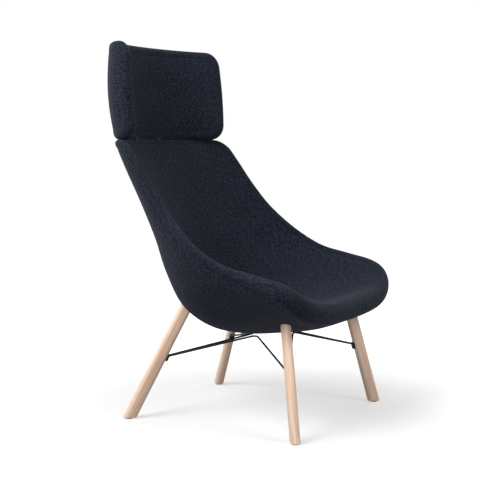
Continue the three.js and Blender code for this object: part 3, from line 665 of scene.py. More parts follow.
def roll_layer(panel, outside, rounding):
    """Rolled edge from the cover's side to the front, round the outermost ring."""
    angles = np.linspace(0, math.pi, ROLL_STEPS)
    out, normal = panel.out[:, None], panel.normal[:, -1][:, None]
    place = panel.place[:, -1][:, None]
    side = rounding[:, None] * np.sin(angles)
    rise = outside[:, None] * np.cos(angles)
    points = place + out * side[..., None] + normal * rise[..., None]
    run = angles * (outside + rounding)[:, None] / 2
    weave = panel.weave[:, -1][:, None] + panel.weave_out[:, None] * run[..., None]
    return points, weave


def bead_layer(panel, outside, depth):
    """Outer flank of the rolled edge, which rises from the seam to its crest."""
    q = np.linspace(1, 0, BEAD_STEPS, endpoint=False)[:, None]
    dip = (1 - np.sqrt(1 - (q[:, 0] * BEAD_BEND) ** 2)) / (1 - math.sqrt(1 - BEAD_BEND ** 2))

    def between(rings):
        """Blend of a panel's rows from the edge to the seam."""
        return rings[:, -1][:, None] * (1 - q) + rings[:, panel.seam_ring][:, None] * q

    height = outside[:, None] - depth[:, None] * dip
    place = between(panel.place) + unit(between(panel.normal)) * height[..., None]
    clearance = 2 * FIT_GAP * np.linspace(1, 0, BEAD_STEPS)[:, None]
    return place + panel.out[:, None] * clearance, between(panel.weave)


def pad_piece(name, panel, build):
    """Pad with its front, its rolled edge, the groove and the hidden back."""
    seam = panel.seam_ring
    edge_t = panel.t[:, -1]
    outside = build["outside"](edge_t)
    depth = build["depth"](edge_t)
    layers = build["cover_thickness"] + build["core_thickness"] + 2 * FIT_GAP

    def behind(rings):
        """Height of the pad's hidden back, on the core."""
        return build["outside"](panel.t[:, rings]) - layers

    hidden = list(range(2, seam, HIDDEN_RING_STEP)) + [seam - 1]
    back = panel.lifted(hidden, behind(hidden))
    wall_top = outside - depth - build["cover_thickness"] / 2
    wall = panel.lifted([seam, seam], columns(behind(seam), wall_top))
    wall = (wall[0] + panel.out[:, None] * 2 * FIT_GAP, wall[1])
    bead = bead_layer(panel, outside, depth)
    roll = roll_layer(panel, outside, build["rounding"](edge_t))
    rings = list(range(panel.reach.shape[1] - 2, -1, -1))
    half = build["outside"](panel.t[:, rings])
    crown = (build["middle"](panel.t[:, rings]) - 2 * half) * crown_share(panel, rings)
    place, weave = panel.lifted(rings, -half - crown)
    fade = smooth((1 - panel.reach[:, rings]) / FADE_SHARE)
    swell = handled(place, build["unevenness"]) * fade
    front = (place + panel.normal[:, rings] * swell[..., None], weave)
    pole = panel.pole
    half = build["outside"](pole.t)
    first = panel.top(half - layers)
    last = panel.top(half - build["middle"](pole.t))
    last = last + pole.normal * handled(last, build["unevenness"])
    return mesh_piece(name, [back, wall, bead, roll, front], (first, pole.weave),
                      (last, pole.weave))


def cover_piece(name, panel, build):
    """Outer cover: a thin padded skin that ends in the seam under the rolled edge."""
    seam = panel.seam_ring
    thickness = build["cover_thickness"]
    rings = list(range(seam + 1))
    half = build["outside"](panel.t[:, rings])
    fall = (panel.from_seam[:, rings] / build["seam_reach"]) ** SEAM_FALL_POWER
    near = np.exp(-fall * SEAM_FALL_RATE)
    depth = build["depth"](panel.t[:, -1])[:, None] * near
    swell = handled(panel.place[:, rings], build["unevenness"]) * (1 - near)
    outer = panel.lifted(rings, half - depth + swell)
    turn = panel.normal[:, seam][:, None] * thickness * COVER_TURN_SHARE
    turned = (outer[0][:, -1:] - turn, outer[1][:, -1:])
    inner_rings = rings[::-HIDDEN_RING_STEP]
    inner = panel.lifted(inner_rings, half[:, inner_rings] - thickness)
    pole = panel.pole
    half = build["outside"](pole.t)
    first = panel.top(half + handled(pole.place, build["unevenness"]))
    last = panel.top(half - thickness)
    return mesh_piece(name, [outer, turned, inner], (first, pole.weave), (last, pole.weave))


def shell_panel(scene):
    """Panel and build of the shell."""
    sizes = scene.lounge_shell
    build = {
        "outside": lambda t: eased(t, NOSE_SHARES, sizes.rim_half, sizes.nose_half),
        "rounding": lambda t: eased(t, NOSE_SHARES, sizes.rim_half, sizes.nose_round),
        "depth": lambda t: (eased(t, SEAM_RISE_SHARES, sizes.corner_seam_depth, sizes.seam_depth)
                            * eased(t, SEAM_FADE_SHARES, 1.0, SEAM_REST_SHARE)),
        "middle": lambda t: eased(t, SEAT_SHARES, sizes.back_thickness, sizes.seat_thickness),
        "cover_thickness": sizes.cover_thickness,
        "core_thickness": sizes.core_thickness,
        "seam_reach": sizes.seam_reach,
        "unevenness": sizes.unevenness,
    }
    point = shell_surface(sizes)
    return Panel(point, shell_outline(), SHELL_CENTRE_SHARES, sizes.seam_inset), build


def headrest_panel(scene):
    """Panel and build of the headrest."""
    sizes = scene.lounge_headrest
    shell = scene.lounge_shell

    def same(value):
        return lambda t: np.full(np.shape(t), value)

    build = {
        "outside": same(sizes.edge_half),
        "rounding": lambda t: sizes.edge_half + eased(t, LOW_EDGE_SHARES, 0.0, sizes.low_swell),
        "depth": same(sizes.seam_depth),
        "middle": same(sizes.middle_thickness),
        "cover_thickness": sizes.cover_thickness,
        "core_thickness": sizes.core_thickness,
        "seam_reach": shell.seam_reach,
        "unevenness": shell.unevenness,
    }
    point = headrest_surface(sizes, shell)
    return Panel(point, headrest_outline(), HEAD_CENTRE_SHARES, shell.seam_inset), build


def deselect():
    """Nothing selected, in object mode."""
    if bpy.context.object and bpy.context.object.mode != "OBJECT":
        bpy.ops.object.mode_set(mode="OBJECT")
    bpy.ops.object.select_all(action="DESELECT")


def only(piece):
    """Makes one piece selected and active."""
    deselect()
    bpy.context.view_layer.objects.active = piece
    piece.select_set(True)


def placed(piece, matrix):
    """Puts a finished mesh in place and leaves its object at the origin."""
    piece.matrix_world = matrix
    only(piece)
    bpy.ops.object.transform_apply(location=True, rotation=True, scale=True)


def modified(piece, kind, **settings):
    """Adds a modifier and applies it."""
    only(piece)
    modifier = piece.modifiers.new(kind.title(), kind)
    for key, value in settings.items():
        setattr(modifier, key, value)
    bpy.ops.object.modifier_apply(modifier=modifier.name)


def cut_by(piece, cutter):
    """Takes a cutter's space from a piece and removes the cutter."""
    modified(piece, "BOOLEAN", operation="DIFFERENCE", object=cutter, solver="EXACT")
    bpy.data.objects.remove(cutter, do_unlink=True)


def pick(piece, kind, test):
    """Selects the faces or edges that pass a test, in edit mode."""
    only(piece)
    bpy.ops.object.mode_set(mode="EDIT")
    bpy.ops.mesh.select_mode(type=kind)
    bpy.ops.mesh.select_all(action="DESELECT")
    bm = bmesh.from_edit_mesh(piece.data)
    for item in (bm.faces if kind == "FACE" else bm.edges):
        item.select_set(bool(test(item)))
    bm.select_flush_mode()
    bmesh.update_edit_mesh(piece.data)


def bevelled(piece, width, segments, test):
    """Rounds the edges that pass a test."""
    pick(piece, "EDGE", test)
    bpy.ops.mesh.bevel(offset=width, segments=segments, profile=0.5)
    deselect()


def in_plane(place, normal):
    """Test for faces and edges that lie in a plane."""
    return lambda item: all(abs((v.co - place).dot(normal)) < NEAR for v in item.verts)


def extruded(move):
    """Extrudes what is selected."""
    bpy.ops.mesh.extrude_region_move(TRANSFORM_OT_translate={"value": move})


def finish_piece(piece, name, node, slot_name, material, angle=35):
    """Names a piece, gives it its finish and lets it stand for its CAD node."""
    piece.name = name
    piece.data.name = name
    piece.data.materials.clear()
    piece.data.materials.append(material)
    if angle:
        only(piece)
        bpy.ops.object.shade_smooth_by_angle(angle=math.radians(angle), keep_sharp_edges=True)
    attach(piece, BODY)
    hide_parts(node)
    return piece


def leg_frames(scene):
    """Foot, axis, inward and tangent direction of each leg."""
    sizes = scene.lounge_legs
    frames = {}
    for end, ahead, spread in (("front", -1, sizes.front_spread), ("rear", 1, sizes.rear_spread)):
        lean_in, lean_long = LEG_LEANS[end]
        for side, sign in SIDES:
            foot = Vector((sign * spread, ahead * sizes.reach, 0))
            axis = Vector((-sign * lean_in, -ahead * lean_long, 1)).normalized()
            inward = Vector((-foot.x, -foot.y, 0))
            inward = (inward - axis * inward.dot(axis)).normalized()
            frames[f"{end}_{side}"] = Leg(foot + SHIFT, axis, inward, axis.cross(inward))
    return frames


def leg_matrix(leg, origin):
    """Placement with X inward, Y across and Z along a leg."""
    matrix = Matrix((leg.inward, leg.tangent, leg.axis)).transposed().to_4x4()
    matrix.translation = origin
    return matrix


def clip_point(scene, leg, inward=0.0, tangent=0.0, up=0.0):
    """Place on a clip, from the middle of its seat in the leg."""
    sizes = scene.lounge_brace
    centre = leg.foot + leg.axis * (sizes.clip_height / leg.axis.z)
    seat = scene.lounge_legs.depth / 2 - sizes.clip_seat
    return centre + leg.inward * (seat + inward) + leg.tangent * tangent + leg.axis * up


def added(operator, **settings):
    """Adds a primitive and gives its object back."""
    deselect()
    operator(**settings)
    return bpy.context.object


def box_piece(size, matrix):
    """Box of a size in a placement."""
    piece = added(bpy.ops.mesh.primitive_cube_add, size=1)
    piece.scale = size
    only(piece)
    bpy.ops.object.transform_apply(location=False, rotation=False, scale=True)
    placed(piece, matrix)
    return piece


def facing(direction):
    """Turn that brings Z to a direction."""
    return direction.to_track_quat("Z", "Y").to_matrix().to_4x4()


def rod_piece(radius, start, end, sides):
    """Straight round rod between two points."""
    piece = added(bpy.ops.mesh.primitive_cylinder_add, vertices=sides, radius=radius,
                  depth=(end - start).length)
    placed(piece, Matrix.Translation((start + end) / 2) @ facing(end - start))
    return piece


def drill(piece, radius, start, end, sides):
    """Cuts a bore between two points."""
    cut_by(piece, rod_piece(radius, start, end, sides))


def upholster(scene, panel, build, pad_names, cover_names):
    """Makes a pad and its cover. The names are the piece's and its CAD node's."""
    wool = wool_weave(scene)
    pad = pad_piece(pad_names[0], panel, build)
    finish_piece(pad, *pad_names, "upholstery", wool, angle=0)
    cover = cover_piece(cover_names[0], panel, build)
    finish_piece(cover, *cover_names, "upholstery", wool, angle=0)


class LOUNGE_OT_shell(bpy.types.Operator):
    """Build the shell's inner pad with the rolled rim and its outer cover"""
    bl_idname = "lounge.shell"
    bl_label = "Upholstered Shell"

    def execute(self, context):
        upholster(context.scene, *shell_panel(context.scene),
                  ("seat_and_back_pad", "shell_inner_pad"), ("shell_cover", "shell_outer_cover"))
        return {"FINISHED"}


class LOUNGE_OT_headrest(bpy.types.Operator):
    """Build the headrest's front pad and its back cover"""
    bl_idname = "lounge.headrest"
    bl_label = "Wrap-round Headrest"

    def execute(self, context):
        upholster(context.scene, *headrest_panel(context.scene),
                  ("headrest_pad", "headrest_front_pad"),
                  ("headrest_cover", "headrest_back_cover"))
        return {"FINISHED"}


class LOUNGE_OT_legs(bpy.types.Operator):
    """Build the oval beech legs, cut to the shell and flat on the floor"""
    bl_idname = "lounge.legs"
    bl_label = "Beech Legs"

    def execute(self, context):
        scene = context.scene
        sizes = scene.lounge_legs
        beech = lacquered_beech(scene)
        for name, leg in leg_frames(scene).items():
            cover_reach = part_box(f"leg_{name}")[1].z / leg.axis.z
            top, low = cover_reach + sizes.socket, -sizes.depth
            piece = box_piece((sizes.depth, sizes.width, top - low),
                              Matrix.Translation((0, 0, (top + low) / 2)))
            bevelled(piece, sizes.rounding, LEG_EDGE_SEGMENTS,
                     lambda e: abs(e.verts[0].co.z - e.verts[1].co.z) > sizes.depth)
            placed(piece, leg_matrix(leg, leg.foot))
            underside = Vector((0, 0, sizes.glide_height + FIT_GAP))
            pick(piece, "FACE", lambda f: True)
            bpy.ops.mesh.bisect(plane_co=underside, plane_no=UP, use_fill=True, clear_inner=True)
            deselect()
            self.cut_top(piece)
            self.cut_clip_seat(scene, piece, leg)
            bevelled(piece, sizes.foot_bevel, SMALL_BEVEL_SEGMENTS, in_plane(underside, UP))
            self.cut_bores(scene, piece, leg, cover_reach)
            along_leg(piece, leg)
            finish_piece(piece, f"beech_leg_{name}", f"leg_{name}", "legs", beech)
        return {"FINISHED"}

    @staticmethod
    def cut_clip_seat(scene, piece, leg):
        """Cuts the flat that the clip sits on."""
        sizes = scene.lounge_legs
        middle = clip_point(scene, leg, inward=sizes.depth / 4)
        length_cut = scene.lounge_brace.clip_length + 2 * FIT_GAP
        size = (sizes.depth / 2, sizes.width * CLIP_CUT_SHARE, length_cut)
        cut_by(piece, box_piece(size, leg_matrix(leg, middle)))

    @staticmethod
    def cut_bores(scene, piece, leg, cover_reach):
        """Cuts the bore of the hanger bolt and the bore of the clip's screw."""
        sizes, brace = scene.lounge_legs, scene.lounge_brace
        start = leg.foot + leg.axis * (cover_reach - sizes.stud_bore_depth)
        end = leg.foot + leg.axis * (cover_reach + 2 * sizes.socket)
        drill(piece, sizes.stud_bore_radius, start, end, LEG_BORE_SIDES)
        screw = clip_point(scene, leg, up=-brace.screw_drop)
        reach = leg.inward * sizes.screw_bore_reach
        drill(piece, brace.screw_radius + FIT_GAP, screw - reach, screw + reach, LEG_BORE_SIDES)

    @staticmethod
    def cut_top(piece):
        """Cuts the leg where it meets the cover, and drops what is cut off."""
        cutter = bpy.data.objects["shell_cover"].copy()
        cutter.data = cutter.data.copy()
        cutter.parent = None
        cutter.matrix_world = Matrix.Identity(4)
        bpy.context.scene.collection.objects.link(cutter)
        cutter.hide_render = True
        modified(cutter, "DISPLACE", strength=FIT_GAP, mid_level=0.0)
        cut_by(piece, cutter)
        bm = bmesh.new()
        bm.from_mesh(piece.data)
        parts = islands(bm)
        parts.sort(key=lambda part: min(v.co.z for v in part))
        spare = [v for part in parts[1:] for v in part]
        bmesh.ops.delete(bm, geom=spare, context="VERTS")
        bm.to_mesh(piece.data)
        bm.free()


def islands(bm):
    """Connected parts of a mesh, as lists of vertices."""
    left = set(bm.verts)
    parts = []
    while left:
        start = left.pop()
        part, queue = [start], [start]
        while queue:
            for edge in queue.pop().link_edges:
                for vert in edge.verts:
                    if vert in left:
                        left.remove(vert)
                        part.append(vert)
                        queue.append(vert)
        parts.append(part)
    return parts


def along_leg(piece, leg):
    """Stores each point's place in the leg's own directions, for the grain."""
    layer = piece.data.attributes.new("grain_place", "FLOAT_VECTOR", "POINT")
    for vert, item in zip(piece.data.vertices, layer.data):
        place = vert.co - leg.foot
        item.vector = (place.dot(leg.inward), place.dot(leg.tangent), place.dot(leg.axis))


class LOUNGE_OT_glides(bpy.types.Operator):
    """Build the felt glides under the feet"""
    bl_idname = "lounge.glides"
    bl_label = "Felt Glides"

    def execute(self, context):
        scene = context.scene
        sizes = scene.lounge_legs
        felt = pressed_felt(scene)
        for name in LEG_NAMES:
            low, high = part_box(f"foot_glide_{name}")
            centre = (low + high) / 2
            piece = added(bpy.ops.mesh.primitive_cylinder_add, vertices=GLIDE_SIDES,
                          radius=sizes.glide_radius, depth=sizes.glide_height, location=centre)
            placed(piece, piece.matrix_world.copy())
            bevelled(piece, sizes.glide_bevel, GLIDE_BEVEL_SEGMENTS,
                     lambda e: len(e.link_faces) == 2 and e.calc_face_angle(0) > SHARP)
            finish_piece(piece, f"felt_glide_{name}", f"foot_glide_{name}", "glides", felt)
        return {"FINISHED"}


class LOUNGE_OT_brace(bpy.types.Operator):
    """Build the bent rods, the clips on the legs and their screws"""
    bl_idname = "lounge.brace"
    bl_label = "Steel Brace"

    def execute(self, context):
        scene = context.scene
        self.legs = leg_frames(scene)
        self.steel = powder_coat(scene)
        self.cover = BVHTree.FromObject(bpy.data.objects["shell_cover"],
                                        context.evaluated_depsgraph_get())
        bores = []
        for name, plan in ROD_PLANS.items():
            bores.extend(self.rod(scene, name, plan))
        for name, leg in self.legs.items():
            self.clip(scene, name, leg, bores)
            self.screw(scene, name, leg)
        return {"FINISHED"}

    def apex(self, scene, name, x, y):
        """Corner of a rod's bend, close under the cover."""
        sizes = scene.lounge_brace
        shell = scene.lounge_shell
        below = Vector((x * shell.half_width, y * shell.reach, 0)) + SHIFT
        hit = self.cover.ray_cast(below, UP)[0]
        if hit is None:
            raise RuntimeError(f"no cover over the bend of rod {name}")
        return hit - UP * (sizes.apex_clearance + sizes.rod_radius)

    def rod(self, scene, name, plan):
        """One bent rod: a circle drawn along its straight, round the bend and on. Gives back
        the stretches at its ends, for the bores of the clips."""
        sizes = scene.lounge_brace
        first, second, x, y = plan
        apex = self.apex(scene, name, x, y)
        ends = []
        for leg in (self.legs[first], self.legs[second]):
            side = (apex - clip_point(scene, leg)).dot(leg.tangent)
            side = math.copysign(sizes.rod_spacing / 2, side)
            depth = sizes.clip_thickness - sizes.rod_seat
            ends.append(clip_point(scene, leg, depth, side, sizes.rod_rise))
        start, end = ends
        into, out = (apex - start).normalized(), (end - apex).normalized()
        bend_axis = into.cross(out).normalized()
        turn = into.angle(out)
        radius = sizes.bend_reach / math.tan(turn / 2)
        bend_start = apex - into * sizes.bend_reach
        centre = bend_start + bend_axis.cross(into) * radius
        piece = added(bpy.ops.mesh.primitive_circle_add, vertices=ROD_SIDES,
                      radius=sizes.rod_radius, fill_type="NGON")
        placed(piece, Matrix.Translation(start) @ facing(into))
        pick(piece, "FACE", lambda f: True)
        extruded(bend_start - start)
        bpy.ops.mesh.spin(steps=BEND_STEPS, angle=-turn, center=centre, axis=bend_axis)
        extruded(end - (apex + out * sizes.bend_reach))
        deselect()
        modified(piece, "WELD", merge_threshold=MERGE)
        tidy_normals(piece)
        finish_piece(piece, f"brace_rod_{name}_bent", f"brace_rod_{name}", "brace", self.steel,
                     angle=40)
        return [(start - into * 2 * FIT_GAP, start + into * sizes.rod_bore),
                (end + out * 2 * FIT_GAP, end - out * sizes.rod_bore)]

    def clip(self, scene, name, leg, bores):
        """One clip: a rounded block with a bore for each rod and one for the screw."""
        sizes = scene.lounge_brace
        inward = leg.inward
        thickness = sizes.clip_thickness - FIT_GAP
        middle = clip_point(scene, leg, FIT_GAP + thickness / 2)
        piece = box_piece((thickness, sizes.clip_width, sizes.clip_length),
                          leg_matrix(leg, middle))
        bevelled(piece, sizes.clip_rounding, CLIP_CORNER_SEGMENTS, lambda e: abs(
            (e.verts[0].co - e.verts[1].co).normalized().dot(inward)) > PARALLEL)
        face = clip_point(scene, leg, sizes.clip_thickness)
        bevelled(piece, sizes.clip_bevel, SMALL_BEVEL_SEGMENTS, in_plane(face, inward))
        for start, end in bores:
            if (start - middle).length < sizes.clip_length:
                drill(piece, sizes.rod_radius + FIT_GAP, start, end, CLIP_BORE_SIDES)
        screw = clip_point(scene, leg, up=-sizes.screw_drop)
        reach = inward * (sizes.clip_thickness + sizes.clip_seat)
        drill(piece, sizes.screw_radius + FIT_GAP, screw - reach, screw + reach, CLIP_BORE_SIDES)
        finish_piece(piece, f"leg_clip_{name}", f"brace_clip_{name}", "brace", self.steel,
                     angle=30)

    def screw(self, scene, name, leg):
        """One screw: a shank, a domed head and a six-sided socket."""
        sizes = scene.lounge_brace
        inward = leg.inward
        seat = clip_point(scene, leg, sizes.clip_thickness + FIT_GAP, 0, -sizes.screw_drop)
        tip = seat - inward * sizes.screw_length
        piece = rod_piece(sizes.screw_radius, tip, seat, SCREW_SIDES)
        pick(piece, "FACE", in_plane(seat, inward))
        grow = sizes.head_radius / sizes.screw_radius
        extruded((0, 0, 0))
        bpy.ops.transform.resize(value=(grow, grow, grow), center_override=seat)
        extruded(inward * sizes.head_height)
        rim = seat + inward * sizes.head_height
        bevelled(piece, sizes.head_bevel, SMALL_BEVEL_SEGMENTS, in_plane(rim, inward))
        drill(piece, sizes.socket_radius, rim - inward * sizes.socket_depth,
              rim + inward * CUTTER_RISE, SOCKET_SIDES)
        finish_piece(piece, f"clip_screw_round_{name}", f"clip_screw_{name}", "brace",
                     self.steel, angle=30)


class LOUNGE_OT_hidden_frame(bpy.types.Operator):
    """Give the hidden cores, bars, bolts and sleeves their finishes"""
    bl_idname = "lounge.hidden_frame"
    bl_label = "Hidden Frame"

    def execute(self, context):
        scene = context.scene
        plywood, steel, zinc = moulded_plywood(scene), powder_coat(scene), zinc_plate(scene)
        finishes = {"plywood": plywood, "stays": steel, "fixings": zinc}
        for row in frame["record"]["subparts"]:
            if row["material_slot"] in finishes:
                materials = frame["nodes"][row["node"]].data.materials
                materials.clear()
                materials.append(finishes[row["material_slot"]])
        return {"FINISHED"}


def material_named(name):
    """Makes a function that builds a shader into one that makes its material, only once."""
    def outer(shader_of):
        def made(scene):
            material = bpy.data.materials.get(name)
            if material is None:
                material = bpy.data.materials.new(name)
                material.use_nodes = True
                tree = material.node_tree
                tree.nodes.clear()
                shader = shader_of(tree, scene.lounge_finishes)
                node(tree, "ShaderNodeOutputMaterial", Surface=shader)
            return material
        return made
    return outer


def node(tree, kind, settings=None, **inputs):
    """Adds a node, sets its properties, and sets or links its inputs. An input's key is its
    name with _ for a space, or i and a number, and a node as its value gives its first
    output. A colour ramp's stops are two places, each with its colour."""
    made = tree.nodes.new(kind)
    for key, value in (settings or {}).items():
        if key == "stops":
            for element, (place, tint) in zip(made.color_ramp.elements, value):
                element.position, element.color = place, tint
        else:
            setattr(made, key, value)
    for key, value in inputs.items():
        numbered = key[0] == "i" and key[1:].isdigit()
        socket = made.inputs[int(key[1:]) if numbered else key.replace("_", " ")]
        if isinstance(value, bpy.types.Node):
            value = value.outputs[0]
        if isinstance(value, bpy.types.NodeSocket):
            tree.links.new(value, socket)
        else:
            socket.default_value = value
    return made


def shaded(tint, share):
    """Colour with a share of its light."""
    return tuple(min(1.0, part * share) for part in tint[:3]) + (1.0,)


def grey(value):
    """Grey of a value."""
    return (value, value, value, 1.0)


def clouded(tree, noise, stops, rough, bump, relief=None, **settings):
    """Shader whose tint and roughness follow a noise, and its relief too, or another one.
    The roughness is one value or a share and a rest, the bump a strength and a depth."""
    tint = node(tree, "ShaderNodeValToRGB", {"stops": stops}, Fac=noise)
    if isinstance(rough, tuple):
        rough = node(tree, "ShaderNodeMath", {"operation": "MULTIPLY_ADD"}, i0=noise,
                     i1=rough[0], i2=rough[1])
    raised = node(tree, "ShaderNodeBump", Strength=bump[0], Distance=bump[1],
                  Height=relief or noise)
    return node(tree, "ShaderNodeBsdfPrincipled", Base_Color=tint, Roughness=rough,
                Normal=raised, **settings)


def to_eye(tree):
    """One where the camera sees a thing itself or its reflection, and else none."""
    seen = node(tree, "ShaderNodeLightPath")
    return node(tree, "ShaderNodeMath", {"operation": "MAXIMUM"},
                i0=seen.outputs["Is Camera Ray"], i1=seen.outputs["Is Glossy Ray"])


@material_named("wool_crepe_upholstery")
def wool_weave(tree, colours):
    """Wool upholstery cloth, piece-dyed yarns of two near tones in a fine crepe weave: it
    gives the eye a matt, dark, faintly pebbled face with a soft bloom at grazing angles."""
    weave = node(tree, "ShaderNodeUVMap", {"uv_map": "weave"})
    place = node(tree, "ShaderNodeTexCoord").outputs["Object"]
    # Slubs lie across the chair, and the crepe gathers the yarns in pebbles, lighter on their tops
    # with painted shade in the hollows between them
    drawn = node(tree, "ShaderNodeMapping", Vector=weave,
                 Scale=(SLUB_HEIGHT / SLUB_LENGTH, 1.0, 1.0))
    slub = node(tree, "ShaderNodeTexNoise", Vector=drawn, Scale=1 / SLUB_HEIGHT, Detail=1.0,
                Roughness=0.5)
    pebble = node(tree, "ShaderNodeTexVoronoi", {"feature": "F1"}, Vector=weave,
                  Scale=1 / PEBBLE_WIDTH)
    # Painted shade: each pebble is lighter in its middle and darker towards its edge, following its
    # relief
    pebble_shade = node(tree, "ShaderNodeMath", {"operation": "MULTIPLY_ADD"}, i0=pebble, i1=-0.2, i2=0.08)
    broad = node(tree, "ShaderNodeTexNoise", Vector=place, Scale=1 / PATCH_WIDTH, Detail=2.0)
    shade = node(tree, "ShaderNodeMath", {"operation": "MULTIPLY_ADD"}, i0=broad, i1=0.12, i2=pebble_shade)
    tone = node(tree, "ShaderNodeMath", {"operation": "ADD"}, i0=slub, i1=shade)
    stops = ((0.38, tuple(colours.wool_dark)), (0.74, tuple(colours.wool_light)))
    mixed = node(tree, "ShaderNodeValToRGB", {"stops": stops}, Fac=tone)
    # Single threads, bent by the crepe twist of the yarn
    wander = node(tree, "ShaderNodeTexNoise", Vector=weave, Scale=1 / TWIST_LENGTH, Detail=2.0)
    bent = node(tree, "ShaderNodeMix", {"data_type": "VECTOR"}, i0=TWIST_REACH, i4=weave,
                i5=wander.outputs["Color"])
    threads = [node(tree, "ShaderNodeTexWave", {"bands_direction": way},
                    Vector=bent.outputs[1], Scale=WAVE_REPEAT / THREAD_SPACING).outputs["Fac"]
               for way in ("X", "Y")]
    cloth = node(tree, "ShaderNodeMath", {"operation": "MULTIPLY"}, i0=threads[0], i1=threads[1])
    height = node(tree, "ShaderNodeMath", {"operation": "MULTIPLY_ADD"}, i0=cloth, i1=0.35, i2=tone)
    bump = node(tree, "ShaderNodeBump", Strength=0.75, Distance=0.0013, Height=height)
    rough = node(tree, "ShaderNodeMath", {"operation": "MULTIPLY_ADD"}, i0=tone, i1=-0.1, i2=1.0)
    return node(tree, "ShaderNodeBsdfPrincipled", Base_Color=mixed, Roughness=rough, Normal=bump,
                IOR=1.45, Specular_IOR_Level=0.12, Sheen_Weight=0.11, Sheen_Roughness=0.45,
                Sheen_Tint=linear("#8d95a6"))


@material_named("beech_satin_lacquer")
def lacquered_beech(tree, colours):
    """Steamed beech, turned and sanded under a thin satin lacquer: it gives the eye a pale
    warm body, fine straight grain along the leg and short darker ray flecks."""
    light, dark = tuple(colours.beech_light), tuple(colours.beech_dark)
    place = node(tree, "ShaderNodeAttribute", {"attribute_name": "grain_place"}).outputs["Vector"]
    # Year rings are 2 to 4 mm wide, and rings, pores and flecks are drawn out along the leg
    rings_at, pores_at, flecks_at = (node(tree, "ShaderNodeMapping", Vector=place,
                                          Scale=(1.0, 1.0, drawn)) for drawn in (0.06, 0.02, 0.22))
    rings = node(tree, "ShaderNodeTexNoise", Vector=rings_at, Scale=1 / RING_NOISE_WIDTH,
                 Detail=3.0, Roughness=0.55)
    fine = node(tree, "ShaderNodeTexNoise", Vector=pores_at, Scale=1 / PORE_WIDTH, Detail=2.0)
    flecks = node(tree, "ShaderNodeTexVoronoi", Vector=flecks_at, Scale=1 / FLECK_WIDTH,
                  Randomness=1.0)
    fleck = node(tree, "ShaderNodeValToRGB", {"stops": ((0.1, grey(1.0)), (0.22, grey(0.0)))},
                 Fac=flecks)
    fleck_share = node(tree, "ShaderNodeMath", {"operation": "MULTIPLY"}, i0=fleck, i1=0.3)
    body = node(tree, "ShaderNodeValToRGB", {"stops": ((0.3, light), (0.75, dark))}, Fac=rings)
    pores = node(tree, "ShaderNodeValToRGB", {"stops": ((0.35, grey(0.72)), (0.6, grey(1.0)))},
                 Fac=fine)
    grain = node(tree, "ShaderNodeMix", {"data_type": "RGBA", "blend_type": "MULTIPLY"}, i0=0.22,
                 i6=body, i7=pores)
    flecked = node(tree, "ShaderNodeMix", {"data_type": "RGBA"}, i0=fleck_share,
                   i6=grain.outputs[2], i7=dark)
    bump = node(tree, "ShaderNodeBump", Strength=0.12, Distance=0.0003, Height=fine)
    rough = node(tree, "ShaderNodeMath", {"operation": "MULTIPLY_ADD"}, i0=rings, i1=0.12, i2=0.42)
    return node(tree, "ShaderNodeBsdfPrincipled", Base_Color=flecked.outputs[2], Roughness=rough,
                Normal=bump, IOR=1.5, Coat_Weight=0.15, Coat_Roughness=0.3)


@material_named("black_powder_coated_steel")
def powder_coat(tree, colours):
    """Steel under black powder coat, sprayed and baked: it gives the eye a satin black with
    a fine orange peel and no bare metal."""
    black = tuple(colours.steel_black)
    place = node(tree, "ShaderNodeTexCoord").outputs["Object"]
    # Orange peel is about 1 mm across
    peel = node(tree, "ShaderNodeTexNoise", Vector=place, Scale=1 / 0.001, Detail=2.0)
    dust = node(tree, "ShaderNodeTexNoise", Vector=place, Scale=1 / 0.018, Detail=3.0)
    return clouded(tree, dust, ((0.4, black), (0.75, shaded(black, 1.7))), rough=(0.2, 0.5),
                   bump=(0.2, 0.0001), relief=peel, IOR=1.5, Specular_IOR_Level=0.2)


@material_named("zinc_plated_steel")
def zinc_plate(tree, colours):
    """Zinc-plated steel, barrel-plated and passivated: it gives the eye a cool grey metal
    with a cloudy lustre."""
    zinc = tuple(colours.zinc)
    place = node(tree, "ShaderNodeTexCoord").outputs["Object"]
    cloud = node(tree, "ShaderNodeTexNoise", Vector=place, Scale=1 / 0.003, Detail=3.0)
    return clouded(tree, cloud, ((0.35, shaded(zinc, 0.7)), (0.65, zinc)), rough=(0.2, 0.25),
                   bump=(0.15, 0.0001), Metallic=1.0)


@material_named("moulded_beech_plywood")
def moulded_plywood(tree, colours):
    """Beech plywood, veneers glued and pressed in a mould, left bare: it gives the eye a
    warm tan face with long grain."""
    face = tuple(colours.ply_face)
    place = node(tree, "ShaderNodeTexCoord").outputs["Object"]
    # Grain lines are about 2 mm apart and run up the shell
    drawn = node(tree, "ShaderNodeMapping", Vector=place, Scale=(1.0, 0.08, 0.08))
    grain = node(tree, "ShaderNodeTexNoise", Vector=drawn, Scale=1 / 0.004, Detail=4.0)
    return clouded(tree, grain, ((0.35, shaded(face, 0.68)), (0.65, face)), rough=(0.15, 0.6),
                   bump=(0.2, 0.0002), IOR=1.5)


@material_named("pressed_wool_felt")
def pressed_felt(tree, colours):
    """Pressed wool felt, punched into discs: it gives the eye a soft grey nap with no sheen
    of thread."""
    felt = tuple(colours.felt)
    place = node(tree, "ShaderNodeTexCoord").outputs["Object"]
    nap = node(tree, "ShaderNodeTexNoise", Vector=place, Scale=1 / 0.0012, Detail=4.0,
               Roughness=0.7)
    return clouded(tree, nap, ((0.35, shaded(felt, 0.6)), (0.65, felt)), rough=0.95,
                   bump=(0.6, 0.0004), Sheen_Weight=0.2)


